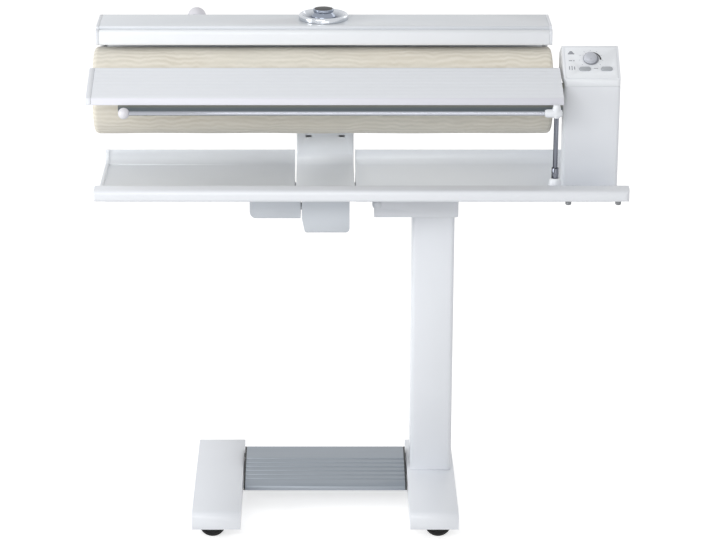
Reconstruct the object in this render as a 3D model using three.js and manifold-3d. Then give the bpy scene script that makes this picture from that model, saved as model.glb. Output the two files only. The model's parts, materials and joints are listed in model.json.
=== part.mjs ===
// A flatwork ironer: a padded roller and a heated shoe over a tray, on a folding castor stand with a foot rail.
// Millimetres. +X runs along the roller to the control end, +Y to the back, +Z up.
// The origin is on the floor, in the middle of the whole machine.
import * as THREE from "three";
import { mergeVertices } from "three/addons/utils/BufferGeometryUtils.js";
import Module from "manifold-3d";

const wasm = await Module();
wasm.setup();

// ---------------------------------------------------------------- driving dimensions

const GAP = 0.3; // between pieces that rest on each other
const RUNNING = 0.4; // round a turning shaft or pin
const SHEET = 2.5; // folded sheet steel

// Overall
const LEFT_END = -492.5;
const RIGHT_END = 492.5;

// Feet and castors
const FOOT_LENGTH = 380;
const FOOT_WIDTH = 91.5;
const FOOT_TOP = 57.5;
const FOOT_RIM = 26;
const FOOT_WALL = 3;
const FOOT_NOSE = 15;
const RIGHT_FOOT_X = 147.75;
const LEFT_FOOT_X = -262.75;
const CASTOR_IN = 40; // from the foot's ends
const CASTOR_Y = FOOT_LENGTH / 2 - CASTOR_IN;
const WHEEL_R = 25;
const WHEEL_PAIR_WIDTH = 26;
const WHEEL_SPLIT = 9.2;
const CASTOR_TRAIL = 8;
const CASTOR_WEB = 8;
const AXLE_R = 3;
const STEM_R = 4.5;
const STEM_TOP = FOOT_TOP - 1.2;

// Column and folding head
const COLUMN_WIDTH = 80;
const COLUMN_FRONT = 25;
const COLUMN_BACK = 105;
const COLUMN_WALL = 3;
const HEAD_LEFT = 34.5;
const HEAD_RIGHT = 194;
const HEAD_TOP = 615.7;
const HEAD_DEPTH = 40.2;
const HEAD_BOTTOM = HEAD_TOP - HEAD_DEPTH;
const CHEEK_FRONT = 20;
const CHEEK_BACK = 110;
const CHEEK = 3;
const FOLD_X = 41;
const FOLD_DROP = 15.7;
const FOLD_Z = HEAD_TOP - FOLD_DROP;
const FOLD_BOLT_R = 6;

// Foot rail
const RAIL_BACK = 129;
const RAIL_FRONT = -34;
const RAIL_BACK_Z = 66.4;
const RAIL_CREASE_Y = 72.5;
const RAIL_CREASE_Z = 63.5;
const RAIL_RIB_END_Y = -21;
const RAIL_RIB_END_Z = 51.8;
const RAIL_LIP_Z = 39.5;
const RAIL_SIDE_PLAY = 1.5;
const RAIL_CAP = 3;
const RAIL_RIBS = 6;
const RAIL_PIVOT_Y = 121;
const RAIL_PIVOT_Z = 50;
const RAIL_PIN_R = 4;

// Tray and the frame below it
const FRAME_DEPTH = 25.3;
const TRAY_FLOOR = HEAD_TOP + FRAME_DEPTH;
const TRAY_SHEET = 2;
const TRAY_LEFT = -481;
const TRAY_BACK = 167;
const TRAY_BACK_RISE = 25.4;
const TRAY_BACK_TOP = TRAY_FLOOR + TRAY_BACK_RISE;
const TRAY_RIM = 7;
const TRAY_RAIL_FRONT = -189;
const TRAY_RAIL_BACK = -160;
const TRAY_RAIL_RISE = 51.8;
const TRAY_RAIL_HEIGHT = 23.8;
const TRAY_RAIL_TOP = TRAY_FLOOR + TRAY_RAIL_RISE;
const TRAY_RAIL_BOTTOM = TRAY_RAIL_TOP - TRAY_RAIL_HEIGHT;
const TRAY_RAIL_LEFT = -476;
const BEAM_BOTTOM = HEAD_TOP + GAP;
const BEAM_TOP = TRAY_FLOOR - TRAY_SHEET - GAP;
const BEAM_LEFT = -470;
const BEAM_FRONT = -60;
const BEAM_RAIL_Y = -12;
const BEAM_BACK = 125;

// Control column: a wide front moulding with a narrower body behind it, and a cap with a sloping panel on top
const CONTROL_WIDTH = 104.4;
const CONTROL_SIDE = 8.1; // from the tray rail's right end
const CONTROL_RIGHT = RIGHT_END - CONTROL_SIDE;
const CONTROL_LEFT = CONTROL_RIGHT - CONTROL_WIDTH;
const CONTROL_FRONT = -50;
const CONTROL_BACK = 72;
const MOULDING_DEPTH = 30;
const BODY_INSET = 18;
const BODY_LEFT = CONTROL_LEFT + BODY_INSET;
const BODY_BACK = 105;
const CONTROL_HEIGHT = 207.4;
const CONTROL_SEAM = TRAY_FLOOR + GAP + CONTROL_HEIGHT;
const CONTROL_WALL = 3;
const CONTROL_CORNER = 7;
const PANEL_FOOT_RISE = 11.8;
const PANEL_FOOT_Z = CONTROL_SEAM + PANEL_FOOT_RISE;
const PANEL_CREST_Y = 22;
const PANEL_CREST_RISE = 61;
const PANEL_CREST_Z = CONTROL_SEAM + PANEL_CREST_RISE;
const CAP_SHOULDER_Y = 68.5;
const CAP_SHOULDER_RISE = 33;
const CAP_SHOULDER_Z = CONTROL_SEAM + CAP_SHOULDER_RISE;
const PANEL_PLATE = 2;
const PANEL_MARGIN = 4.5;
const KNOB_SHIFT = 0.2; // to the left of the column's middle
const KNOB_X = CONTROL_LEFT + CONTROL_WIDTH / 2 - KNOB_SHIFT;
const KNOB_ALONG = 51.5;
const KNOB_R = 14.7;
const KNOB_HEIGHT = 12;
const KEY_ALONG = 27;
const KEY_LENGTH = 21;
const KEY_WIDTH = 9;
const KEY_PITCH = 40;
const KEY_SHIFT = 7.7; // the middle of the two keys, to the right of the knob
const KEY_X = [-KEY_PITCH / 2, KEY_PITCH / 2].map((x) => KNOB_X + KEY_SHIFT + x);

// Roller
const ROLLER_Y = 55;
const ROLLER_HEIGHT = 174;
const ROLLER_Z = TRAY_FLOOR + ROLLER_HEIGHT;
const ROLLER_R = 81.5;
const ROLLER_LEFT = -488.6;
const ROLLER_SIDE = 15.8; // between the roller and the control column
const ROLLER_RIGHT = CONTROL_LEFT - ROLLER_SIDE;
const CLOTH = 9.2;
const DRUM_WALL = 2.5;
const SHAFT_R = 12;

// Roller drive
const GEAR_MODULE = 1.7;
const DRIVE_TEETH = 36;
const PINION_TEETH = 12;
const GEAR_WIDTH = 14;
const GEAR_IN = 54;
const GEAR_X = BODY_LEFT + GEAR_IN;
const BEARING_SIZE = 36;
const BEARING_DEPTH = 22;
const MOTOR_R = 22;

// Heated press
const PRESS_PIVOT_Y = 172;
const PRESS_PIVOT_DROP = 3.7;
const PRESS_PIVOT_Z = HEAD_TOP - PRESS_PIVOT_DROP;
const PRESS_STROKE = 5; // degrees from open to closed
const PRESS_PIN_R = 6;
const SHOE_CLEARANCE = 1.3;
const SHOE_THICKNESS = 9;
const SHOE_FROM = -15;
const SHOE_TO = 105;
const COVER_LEFT = -483.5;
const COVER_SIDE = 16.3; // between the press cover and the control column
const COVER_RIGHT = CONTROL_LEFT - COVER_SIDE;
const SHOE_LEFT_IN = 13.5; // from the ends of the press cover
const SHOE_RIGHT_IN = 10.7;
const SHOE_LEFT = COVER_LEFT + SHOE_LEFT_IN;
const SHOE_RIGHT = COVER_RIGHT - SHOE_RIGHT_IN;
const COVER_END = 5.4;
const COVER_ROOM = 42.9;
const COVER_TOP = ROLLER_Z + ROLLER_R + COVER_ROOM;
const COVER_FRONT = 46;
const COVER_SHOULDER_Y = 149;
const COVER_BACK = 180;
const COVER_KNEE_DROP = 86.8;
const COVER_DEPTH = 139.4;
const COVER_BOTTOM = COVER_TOP - COVER_DEPTH;
const COVER_SHEET = 2.5;
const GUARD_FRONT = 30;
const GUARD_BACK = 43.5;
const GUARD_DROP = 4.5;
const GUARD_HEIGHT = 29.2;
const GUARD_TOP = COVER_TOP - GUARD_DROP;
const GUARD_BOTTOM = GUARD_TOP - GUARD_HEIGHT;
const RING_X = -61;
const RING_Y = 107;
const RING_R = 46.5;
const RING_HEIGHT = 10;
const DISH_DEPTH = 9;
const CAP_HEIGHT = 18.6;
const CAP_R = 23.4;
const CAP_TOP_R = 19.4;

// Press arm and its drive
const ARM_LEFT = -112.5;
const ARM_RIGHT = -2.5;
const ARM_FRONT = 164;
const ARM_DEPTH = 24;
const ARM_TIP_Y = -20;
const NOTCH_SIDE = 2.5;
const DRIVE_LEFT = -101.4;
const DRIVE_RIGHT = -12.4;
const DRIVE_DEPTH = 45.7;
const DRIVE_BOTTOM = HEAD_TOP - DRIVE_DEPTH;
const DRIVE_FRONT = -60;
const DRIVE_FLAT_TO = 120;
const LEVER_X = -58;
const LEVER_THICK = 8;
const CRANK_Y = 20;
const CRANK_DROP = 17.7;
const CRANK_Z = HEAD_TOP - CRANK_DROP;
const CRANK_HALF_SWING = 35; // degrees each side of its level position
const CRANK_PIN_R = 5;
const GEARBOX_LEFT = -198.3;
const GEARBOX_DEPTH = 17.7;
const GEARBOX_BOTTOM = HEAD_TOP - GEARBOX_DEPTH;

// Feed board
const BOARD_SIDE = 5.5; // between the board and the control column
const BOARD_RIGHT = CONTROL_LEFT - BOARD_SIDE;
const BOARD_BACK_Y = -14;
const BOARD_BACK_RISE = 61;
const BOARD_BACK_Z = ROLLER_Z + BOARD_BACK_RISE;
const BOARD_CREASE_Y = -119;
const BOARD_FALL = 30.3;
const BOARD_CREASE_Z = BOARD_BACK_Z - BOARD_FALL;
const BOARD_LIP = 12.7;
const BOARD_LIP_Z = BOARD_CREASE_Z - BOARD_LIP;
const BOARD_THICK = 9;
const BOARD_CAP = 10;
const BOARD_GROOVES = 9;
const BEARER_LEFT_IN = 58.5;
const BEARER_RIGHT_IN = 1.5;
const BEARER_LEFT = LEFT_END + BEARER_LEFT_IN;
const BEARER_RIGHT = BOARD_RIGHT - BEARER_RIGHT_IN;
const BEARER_HEIGHT = 13.4;
const BEARER_WIDTH = 25;
const BEARER_ARM = 28;

// Hanging rails
const POST_SIDE = 20;
const POST_X = CONTROL_LEFT - POST_SIDE;
const POST_Y = -139;
const SOCKET_R = 12;
const SOCKET_HEIGHT = 60;
const SOCKET_TOP = TRAY_FLOOR + SOCKET_HEIGHT;
const SLEEVE_R = 6.5;
const SLEEVE_SHOWN = 19;
const SLEEVE_TOP = SOCKET_TOP + SLEEVE_SHOWN;
const POST_R = 4.5;
const ROD_R = 3.8;
const ROD_RISE = 7;
const ROD_Z = ROLLER_Z + ROD_RISE;
const BALL_X = -422.2;
const BALL_R = 10.3;
const REAR_POST_IN = 18.7;
const REAR_POST_X = COVER_RIGHT - REAR_POST_IN;
const REAR_SLEEVE = 26;
const REAR_ROD_Y = 172.5;
const REAR_ROD_R = 3;
const REAR_ROD_DROP = 10.8;
const REAR_ROD_Z = COVER_TOP - REAR_ROD_DROP;
const REAR_BALL_X = -301.5;
const REAR_BALL_R = 17.5;

// ---------------------------------------------------------------- finishes

function finish(color, roughness, metalness = 0) {
  return new THREE.MeshStandardMaterial({ color, roughness, metalness });
}
const whitePaint = () => finish(0xe4e8ec, 0.45);
const whitePlastic = () => finish(0xeef0f2, 0.4);
const greyAluminium = () => finish(0x9aa1a6, 0.4, 0.9);
const paleAluminium = () => finish(0xd9dcdf, 0.4, 0.6);
const chrome = () => finish(0xd8dadc, 0.1, 1);
const darkPlastic = () => finish(0x2a2b2d, 0.6);
const blackRubber = () => finish(0x141414, 0.85);
const steel = () => finish(0x8d9094, 0.4, 0.9);
const clothBeige = () => finish(0xded6c8, 0.95);

// ---------------------------------------------------------------- shaping tools

const ARC_STEP = Math.PI / 8;
const rad = THREE.MathUtils.degToRad;

// A profile from corners [u, v, radius]; a corner with a radius becomes an arc.
function corners(list) {
  const out = [];
  const n = list.length;
  list.forEach(([u, v, radius = 0], i) => {
    const corner = new THREE.Vector2(u, v);
    if (!radius) {
      out.push(corner);
      return;
    }
    const before = new THREE.Vector2(...list[(i + n - 1) % n]).sub(corner).normalize();
    const after = new THREE.Vector2(...list[(i + 1) % n]).sub(corner).normalize();
    const half = Math.acos(THREE.MathUtils.clamp(before.dot(after), -1, 1)) / 2;
    const reach = radius / Math.tan(half);
    const middle = before.clone().add(after).normalize().multiplyScalar(radius / Math.sin(half)).add(corner);
    const start = before.multiplyScalar(reach).add(corner).sub(middle);
    const end = after.multiplyScalar(reach).add(corner).sub(middle);
    const turn = Math.atan2(start.cross(end), start.dot(end));
    const steps = Math.max(1, Math.ceil(Math.abs(turn) / ARC_STEP));
    for (let k = 0; k <= steps; k++) {
      out.push(start.clone().rotateAround(new THREE.Vector2(), (turn * k) / steps).add(middle));
    }
  });
  return out;
}

const outline = (list) => new THREE.Shape(corners(list));

function rectangle(u0, u1, v0, v1, radius = 0) {
  return outline([[u0, v0, radius], [u1, v0, radius], [u1, v1, radius], [u0, v1, radius]]);
}

function circle(u, v, radius, sides = 24, from = 0) {
  const points = [];
  for (let k = 0; k < sides; k++) {
    const angle = from + (2 * Math.PI * k) / sides;
    points.push(new THREE.Vector2(u + radius * Math.cos(angle), v + radius * Math.sin(angle)));
  }
  return new THREE.Shape(points);
}

// The outline of a sheet that follows an open path of corners, with its thickness on the left of the path.
function sheet(path, thickness) {
  const line = corners(path);
  const offset = line.map((point, i) => {
    const ahead = line[Math.min(i + 1, line.length - 1)].clone().sub(point);
    const behind = point.clone().sub(line[Math.max(i - 1, 0)]);
    const a = i < line.length - 1 ? ahead.normalize() : behind.clone().normalize();
    const b = i > 0 ? behind.normalize() : a;
    const mean = a.clone().add(b).normalize();
    const normal = new THREE.Vector2(-mean.y, mean.x);
    return normal.multiplyScalar(thickness / Math.max(0.4, mean.dot(a))).add(point);
  });
  return new THREE.Shape([...line, ...offset.reverse()]);
}

// Turns a closed three.js geometry into a solid that can be joined and cut.
function solid(geometry) {
  const bare = new THREE.BufferGeometry();
  const flat = geometry.index ? geometry.toNonIndexed() : geometry;
  bare.setAttribute("position", flat.getAttribute("position"));
  const merged = mergeVertices(bare, 1e-4);
  const faces = [];
  const index = merged.index.array;
  for (let i = 0; i < index.length; i += 3) {
    const [a, b, c] = [index[i], index[i + 1], index[i + 2]];
    if (a !== b && b !== c && c !== a) faces.push(a, b, c);
  }
  const make = (list) =>
    new wasm.Manifold(
      new wasm.Mesh({
        numProp: 3,
        vertProperties: merged.attributes.position.array,
        triVerts: new Uint32Array(list),
      }),
    );
  const made = make(faces);
  if (made.volume() > 0) return made;
  for (let i = 0; i < faces.length; i += 3) [faces[i + 1], faces[i + 2]] = [faces[i + 2], faces[i + 1]];
  return make(faces);
}

const X = new THREE.Vector3(1, 0, 0);
const Y = new THREE.Vector3(0, 1, 0);
const Z = new THREE.Vector3(0, 0, 1);
// How a flat profile lies before it is pushed along x, y or z: its axes are (y, z), (x, z) and (x, y).
const LAY = {
  x: new THREE.Matrix4().makeBasis(Y, Z, X),
  y: new THREE.Matrix4().makeBasis(X, Z, Y.clone().negate()),
  z: new THREE.Matrix4(),
};

function prism(shape, axis, from, to) {
  const geometry = new THREE.ExtrudeGeometry(shape, { depth: to - from, bevelEnabled: false, curveSegments: 1 });
  geometry.applyMatrix4(LAY[axis]);
  geometry.translate(axis === "x" ? from : 0, axis === "y" ? to : 0, axis === "z" ? from : 0);
  return solid(geometry);
}

const bar = (axis, u, v, radius, from, to, sides = 20) => prism(circle(u, v, radius, sides), axis, from, to);
const block = (x0, x1, y0, y1, z0, z1) => prism(rectangle(x0, x1, y0, y1), "z", z0, z1);

// A solid of revolution about an axis through (u, v); the profile is a list of [radius, distance along the axis].
function turned(profile, axis, u = 0, v = 0, sides = 32) {
  const geometry = new THREE.LatheGeometry(profile.map(([r, h]) => new THREE.Vector2(r, h)), sides);
  const basis = {
    x: new THREE.Matrix4().makeBasis(Y, X, Z.clone().negate()),
    y: new THREE.Matrix4(),
    z: new THREE.Matrix4().makeBasis(X, Z, Y.clone().negate()),
  };
  geometry.applyMatrix4(basis[axis]);
  geometry.translate(axis === "x" ? 0 : u, axis === "y" ? 0 : axis === "x" ? u : v, axis === "z" ? 0 : v);
  return solid(geometry);
}

function joined(...solids) {
  return solids.reduce((whole, next) => whole.add(next));
}

function cut(whole, ...tools) {
  return tools.reduce((left, tool) => left.subtract(tool), whole);
}

function moved(shape, matrix) {
  return solid(geometryOf(shape).applyMatrix4(matrix));
}

function geometryOf(shape) {
  const mesh = shape.getMesh();
  const geometry = new THREE.BufferGeometry();
  const positions = new Float32Array(mesh.numVert * 3);
  for (let i = 0; i < mesh.numVert; i++) {
    for (let k = 0; k < 3; k++) positions[3 * i + k] = mesh.vertProperties[i * mesh.numProp + k];
  }
  geometry.setAttribute("position", new THREE.BufferAttribute(positions, 3));
  geometry.setIndex(new THREE.BufferAttribute(new Uint32Array(mesh.triVerts), 1));
  return geometry;
}

const ironer = new THREE.Group();

function part(name, shape, material, parent = ironer) {
  const geometry = geometryOf(shape).toNonIndexed();
  geometry.computeVertexNormals();
  const mesh = new THREE.Mesh(geometry, material);
  mesh.name = name;
  parent.add(mesh);
  return mesh;
}

// ---------------------------------------------------------------- feet, castors and cross tube

const FRONT_END = -FOOT_LENGTH / 2;
const BACK_END = FOOT_LENGTH / 2;
const HALF_FOOT = FOOT_WIDTH / 2;
const SOCKET_BOSS_R = 8;
const BOSS_BOTTOM = 2 * WHEEL_R + 1;
const RAIL_PIN_HOLE = RAIL_PIN_R + RUNNING;

// An open-bottomed steel shell, with a boss for each castor stem and a hole for the foot rail's pin.
function footShell(centre, pinSide) {
  const side = (inset, bottom) =>
    outline([
      [FRONT_END + inset, bottom],
      [FRONT_END + inset, FOOT_TOP - inset, FOOT_NOSE - inset],
      [BACK_END - inset, FOOT_TOP - inset, FOOT_NOSE / 2 - inset],
      [BACK_END - inset, bottom],
    ]);
  const left = centre - HALF_FOOT;
  const right = centre + HALF_FOOT;
  let shell = cut(
    prism(side(0, FOOT_RIM), "x", left, right),
    prism(side(FOOT_WALL, FOOT_RIM - 10), "x", left + FOOT_WALL, right - FOOT_WALL),
  );
  for (const y of [-CASTOR_Y, CASTOR_Y]) {
    const boss = bar("z", centre, y, SOCKET_BOSS_R, BOSS_BOTTOM, FOOT_TOP - FOOT_WALL + 1, 20);
    shell = cut(joined(shell, boss), bar("z", centre, y, STEM_R + GAP, BOSS_BOTTOM - 1, STEM_TOP + GAP, 20));
  }
  const wall = centre + pinSide * HALF_FOOT;
  return cut(
    shell,
    bar("x", RAIL_PIVOT_Y, RAIL_PIVOT_Z, RAIL_PIN_HOLE, wall - 1.5 * FOOT_WALL, wall + 1.5 * FOOT_WALL, 16),
  );
}

part("foot_left", footShell(LEFT_FOOT_X, 1), whitePaint());
part("foot_right", footShell(RIGHT_FOOT_X, -1), whitePaint());

const BAY_LEFT = LEFT_FOOT_X + HALF_FOOT;
const BAY_RIGHT = RIGHT_FOOT_X - HALF_FOOT;
const CROSS_TOP = 43;
const CROSS_HEIGHT = 14;
const CROSS_FRONT = 72;
const CROSS_BACK = 112;
part(
  "cross_tube",
  cut(
    prism(rectangle(CROSS_FRONT, CROSS_BACK, CROSS_TOP - CROSS_HEIGHT, CROSS_TOP, 3), "x", BAY_LEFT + GAP, BAY_RIGHT - GAP),
    prism(
      rectangle(CROSS_FRONT + SHEET, CROSS_BACK - SHEET, CROSS_TOP - CROSS_HEIGHT + SHEET, CROSS_TOP - SHEET),
      "x",
      BAY_LEFT,
      BAY_RIGHT,
    ),
  ),
  whitePaint(),
);

// A twin-wheel castor: the web with its stem stands between the two wheels, which share one axle.
function castorBody() {
  const hub = WHEEL_R * 0.36;
  const side = outline([
    [-CASTOR_TRAIL - hub * 0.7, WHEEL_R - hub * 0.7, 4],
    [-CASTOR_TRAIL + hub * 0.7, WHEEL_R - hub * 0.7, 4],
    [STEM_R + 2.5, WHEEL_R + hub],
    [STEM_R + 2.5, BOSS_BOTTOM - GAP],
    [-STEM_R - 2.5, BOSS_BOTTOM - GAP],
    [-CASTOR_TRAIL - hub * 0.7, WHEEL_R + hub],
  ]);
  return cut(
    joined(
      prism(side, "y", -CASTOR_WEB / 2, CASTOR_WEB / 2),
      bar("y", -CASTOR_TRAIL, WHEEL_R, hub, -CASTOR_WEB / 2, CASTOR_WEB / 2, 20),
      bar("z", 0, 0, STEM_R, BOSS_BOTTOM - 2, STEM_TOP, 16),
    ),
    bar("y", -CASTOR_TRAIL, WHEEL_R, AXLE_R + RUNNING, -CASTOR_WEB, CASTOR_WEB, 16),
  );
}

function castorWheels() {
  const out = WHEEL_PAIR_WIDTH / 2;
  const inner = WHEEL_SPLIT / 2;
  const half = [
    [0, out - 1.5],
    [WHEEL_R * 0.7, out - 1.5],
    [WHEEL_R * 0.76, out],
    [WHEEL_R - 2.5, out],
    [WHEEL_R, out - 2.5],
    [WHEEL_R, inner],
    [AXLE_R, inner],
  ];
  const other = half.map(([r, h]) => [r, -h]).reverse();
  return turned([...half, ...other].reverse(), "y", -CASTOR_TRAIL, WHEEL_R, 20);
}

for (const [side, x, facing] of [["left", LEFT_FOOT_X, 0], ["right", RIGHT_FOOT_X, Math.PI]]) {
  for (const [end, y] of [["front", -CASTOR_Y], ["back", CASTOR_Y]]) {
    const castor = new THREE.Group();
    castor.position.set(x, y, 0);
    castor.rotation.z = facing;
    part("castor_" + end + "_" + side, castorBody(), darkPlastic(), castor);
    part("castor_wheels_" + end + "_" + side, castorWheels(), blackRubber(), castor);
    ironer.add(castor);
  }
}

// ---------------------------------------------------------------- column, folding head, fold bolt

const COLUMN_LEFT = RIGHT_FOOT_X - COLUMN_WIDTH / 2;
const COLUMN_RIGHT = RIGHT_FOOT_X + COLUMN_WIDTH / 2;
const COLUMN_BASE = FOOT_TOP + GAP;
part(
  "column",
  cut(
    prism(rectangle(COLUMN_LEFT, COLUMN_RIGHT, COLUMN_FRONT, COLUMN_BACK, 8), "z", COLUMN_BASE, HEAD_TOP - CHEEK - GAP),
    prism(
      rectangle(
        COLUMN_LEFT + COLUMN_WALL,
        COLUMN_RIGHT - COLUMN_WALL,
        COLUMN_FRONT + COLUMN_WALL,
        COLUMN_BACK - COLUMN_WALL,
        5,
      ),
      "z",
      COLUMN_BASE - 1,
      HEAD_TOP,
    ),
  ),
  whitePaint(),
);

// An inverted channel round the column's top. Its left end carries the fold bolt between two cheeks.
const HEAD_OPEN_TO = FOLD_X + 22;
const head = cut(
  prism(
    outline([
      [HEAD_LEFT, HEAD_BOTTOM, 2],
      [HEAD_RIGHT, HEAD_BOTTOM, 2],
      [HEAD_RIGHT, HEAD_TOP],
      [HEAD_LEFT, HEAD_TOP, 13],
    ]),
    "y",
    CHEEK_FRONT,
    CHEEK_BACK,
  ),
  block(HEAD_LEFT - 1, HEAD_RIGHT + 1, CHEEK_FRONT + CHEEK, CHEEK_BACK - CHEEK, HEAD_BOTTOM - 1, HEAD_TOP - CHEEK),
  block(HEAD_LEFT - 1, HEAD_OPEN_TO, CHEEK_FRONT + CHEEK, CHEEK_BACK - CHEEK, HEAD_BOTTOM, HEAD_TOP + 1),
  bar("y", FOLD_X, FOLD_Z, FOLD_BOLT_R + GAP, CHEEK_FRONT - 1, CHEEK_BACK + 1, 20),
);
// The right-hand end plate closes the channel down to the column.
const headEnd = block(HEAD_RIGHT - CHEEK, HEAD_RIGHT, CHEEK_FRONT, CHEEK_BACK, HEAD_BOTTOM + 2, HEAD_TOP - 1);
part("head_bracket", joined(head, headEnd), whitePaint());

const BOLT_HEAD = 2.5;
part(
  "fold_bolt",
  turned(
    [
      [0, CHEEK_FRONT - GAP - BOLT_HEAD],
      [FOLD_BOLT_R - 1, CHEEK_FRONT - GAP - BOLT_HEAD],
      [FOLD_BOLT_R + 1.5, CHEEK_FRONT - GAP - BOLT_HEAD + 1],
      [FOLD_BOLT_R + 1.5, CHEEK_FRONT - GAP],
      [FOLD_BOLT_R, CHEEK_FRONT - GAP],
      [FOLD_BOLT_R, CHEEK_BACK + GAP],
      [FOLD_BOLT_R + 3, CHEEK_BACK + GAP],
      [FOLD_BOLT_R + 3, CHEEK_BACK + GAP + 5],
      [0, CHEEK_BACK + GAP + 5],
    ],
    "y",
    FOLD_X,
    FOLD_Z,
    20,
  ),
  steel(),
);

// The lever behind the head that frees the top for folding.
const RELEASE_X = 158;
const RELEASE_Z = HEAD_BOTTOM + 20;
const RELEASE_PLATE = 4;
const releaseArm = outline([
  [RELEASE_X - 9, RELEASE_Z + 9, 8],
  [RELEASE_X - 9, RELEASE_Z - 34, 5],
  [RELEASE_X + 9, RELEASE_Z - 34, 5],
  [RELEASE_X + 9, RELEASE_Z + 9, 8],
]);
const RELEASE_FROM = CHEEK_BACK + GAP;
part(
  "fold_release",
  joined(
    prism(releaseArm, "y", RELEASE_FROM, RELEASE_FROM + RELEASE_PLATE),
    bar("y", RELEASE_X, RELEASE_Z, 6, RELEASE_FROM, RELEASE_FROM + RELEASE_PLATE + 3, 20),
    block(RELEASE_X - 9, RELEASE_X + 9, RELEASE_FROM, RELEASE_FROM + 22, RELEASE_Z - 34, RELEASE_Z - 29.5),
  ),
  steel(),
);

// ---------------------------------------------------------------- foot rail

// Top line of the ribbed slope, from the crease to the front edge, with a groove before each rib.
function ribbedSlope() {
  const points = [];
  const start = new THREE.Vector2(RAIL_CREASE_Y, RAIL_CREASE_Z);
  const end = new THREE.Vector2(RAIL_RIB_END_Y, RAIL_RIB_END_Z);
  const down = new THREE.Vector2(0, -1.4);
  for (let k = 0; k < RAIL_RIBS; k++) {
    for (const [share, sunk] of [[0.02, 0], [0.1, 1], [0.42, 1], [0.5, 0]]) {
      const point = start.clone().lerp(end, (k + share) / RAIL_RIBS);
      if (sunk) point.add(down);
      points.push([point.x, point.y]);
    }
  }
  return points;
}

const RAIL_WALL = 3.5;
const railOuter = [
  [RAIL_BACK, RAIL_PIVOT_Z - 2],
  [RAIL_BACK, RAIL_BACK_Z, 4],
  [RAIL_CREASE_Y, RAIL_CREASE_Z],
];
const railNose = [
  [RAIL_RIB_END_Y, RAIL_RIB_END_Z],
  [RAIL_FRONT, RAIL_RIB_END_Z - 4, 5],
  [RAIL_FRONT, RAIL_LIP_Z],
];
const railProfile = outline([
  ...railOuter,
  ...ribbedSlope(),
  ...railNose,
  [RAIL_FRONT + RAIL_WALL, RAIL_LIP_Z],
  [RAIL_FRONT + RAIL_WALL, RAIL_RIB_END_Z - 4 - RAIL_WALL],
  [RAIL_RIB_END_Y, RAIL_RIB_END_Z - 1.4 - RAIL_WALL],
  [RAIL_CREASE_Y, RAIL_CREASE_Z - 1.4 - RAIL_WALL],
  [RAIL_BACK - RAIL_WALL, RAIL_BACK_Z - RAIL_WALL],
  [RAIL_BACK - RAIL_WALL, RAIL_PIVOT_Z - 2],
]);
const RAIL_LEFT = BAY_LEFT + RAIL_SIDE_PLAY;
const RAIL_RIGHT = BAY_RIGHT - RAIL_SIDE_PLAY;
part(
  "foot_rail",
  prism(railProfile, "x", RAIL_LEFT + RAIL_CAP + GAP, RAIL_RIGHT - RAIL_CAP - GAP),
  greyAluminium(),
);

// The caps' lower edge arches over the cross tube.
const railArch = [
  [CROSS_FRONT - 10, RAIL_LIP_Z + 2],
  [CROSS_FRONT - 4, CROSS_TOP + 7],
  [CROSS_BACK + 1, CROSS_TOP + 6.5],
  [CROSS_BACK + 4, RAIL_PIVOT_Z - 6],
];

function railCap(outer, direction) {
  const inner = outer + direction * RAIL_CAP;
  const [from, to] = [Math.min(outer, inner), Math.max(outer, inner)];
  const plate = prism(outline([[RAIL_BACK, RAIL_PIVOT_Z - 6, 4], ...railOuter.slice(1), ...railNose, ...railArch]), "x", from, to);
  const pinEnd = outer - direction * (RAIL_SIDE_PLAY + FOOT_WALL);
  const pin = bar("x", RAIL_PIVOT_Y, RAIL_PIVOT_Z, RAIL_PIN_R, Math.min(inner, pinEnd), Math.max(inner, pinEnd), 16);
  return joined(plate, pin);
}
part("rail_cap_left", railCap(RAIL_LEFT, 1), darkPlastic());
part("rail_cap_right", railCap(RAIL_RIGHT, -1), darkPlastic());

// ---------------------------------------------------------------- frame, tray and tray rail

const NOTCH_LEFT = ARM_LEFT - NOTCH_SIDE;
const NOTCH_RIGHT = ARM_RIGHT + NOTCH_SIDE;
const NOTCH_FRONT = ARM_TIP_Y - 4;
const BEAM_RIGHT = CONTROL_RIGHT - 5;
const BEAM_SHEET = 3;
const LUG_THICK = 6;
const LUG_PLAY = 1;
const LUG_R = 10;

const deck = cut(
  block(BEAM_LEFT, BEAM_RIGHT, BEAM_FRONT, BEAM_BACK, BEAM_TOP - BEAM_SHEET, BEAM_TOP),
  block(NOTCH_LEFT, NOTCH_RIGHT, NOTCH_FRONT, BEAM_BACK + 1, BEAM_TOP - 9, BEAM_TOP + 1),
);
const FLANGE_TOP = BEAM_TOP - 1;
const web = (x0, x1, y) => block(x0, x1, y, y + BEAM_SHEET, BEAM_BOTTOM, FLANGE_TOP);
const NOTCH_WEB_LEFT = NOTCH_LEFT - BEAM_SHEET;
const NOTCH_WEB_RIGHT = NOTCH_RIGHT + BEAM_SHEET;
const BEARER_X = [HEAD_OPEN_TO + 12, HEAD_RIGHT - 8]; // rest on the head when the top is down
const notchWeb = (x) => block(x, x + BEAM_SHEET, BEAM_RAIL_Y, BEAM_BACK, BEAM_BOTTOM, FLANGE_TOP);
const foldLug = (y) =>
  cut(
    joined(
      bar("y", FOLD_X, FOLD_Z, LUG_R, y, y + LUG_THICK, 20),
      block(FOLD_X - LUG_R, FOLD_X + LUG_R, y, y + LUG_THICK, FOLD_Z, BEAM_BOTTOM + 1),
      block(FOLD_X - 16, FOLD_X + 16, y, y + LUG_THICK, BEAM_BOTTOM, FLANGE_TOP),
    ),
    bar("y", FOLD_X, FOLD_Z, FOLD_BOLT_R + GAP, y - 1, y + LUG_THICK + 1, 20),
  );
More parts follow.
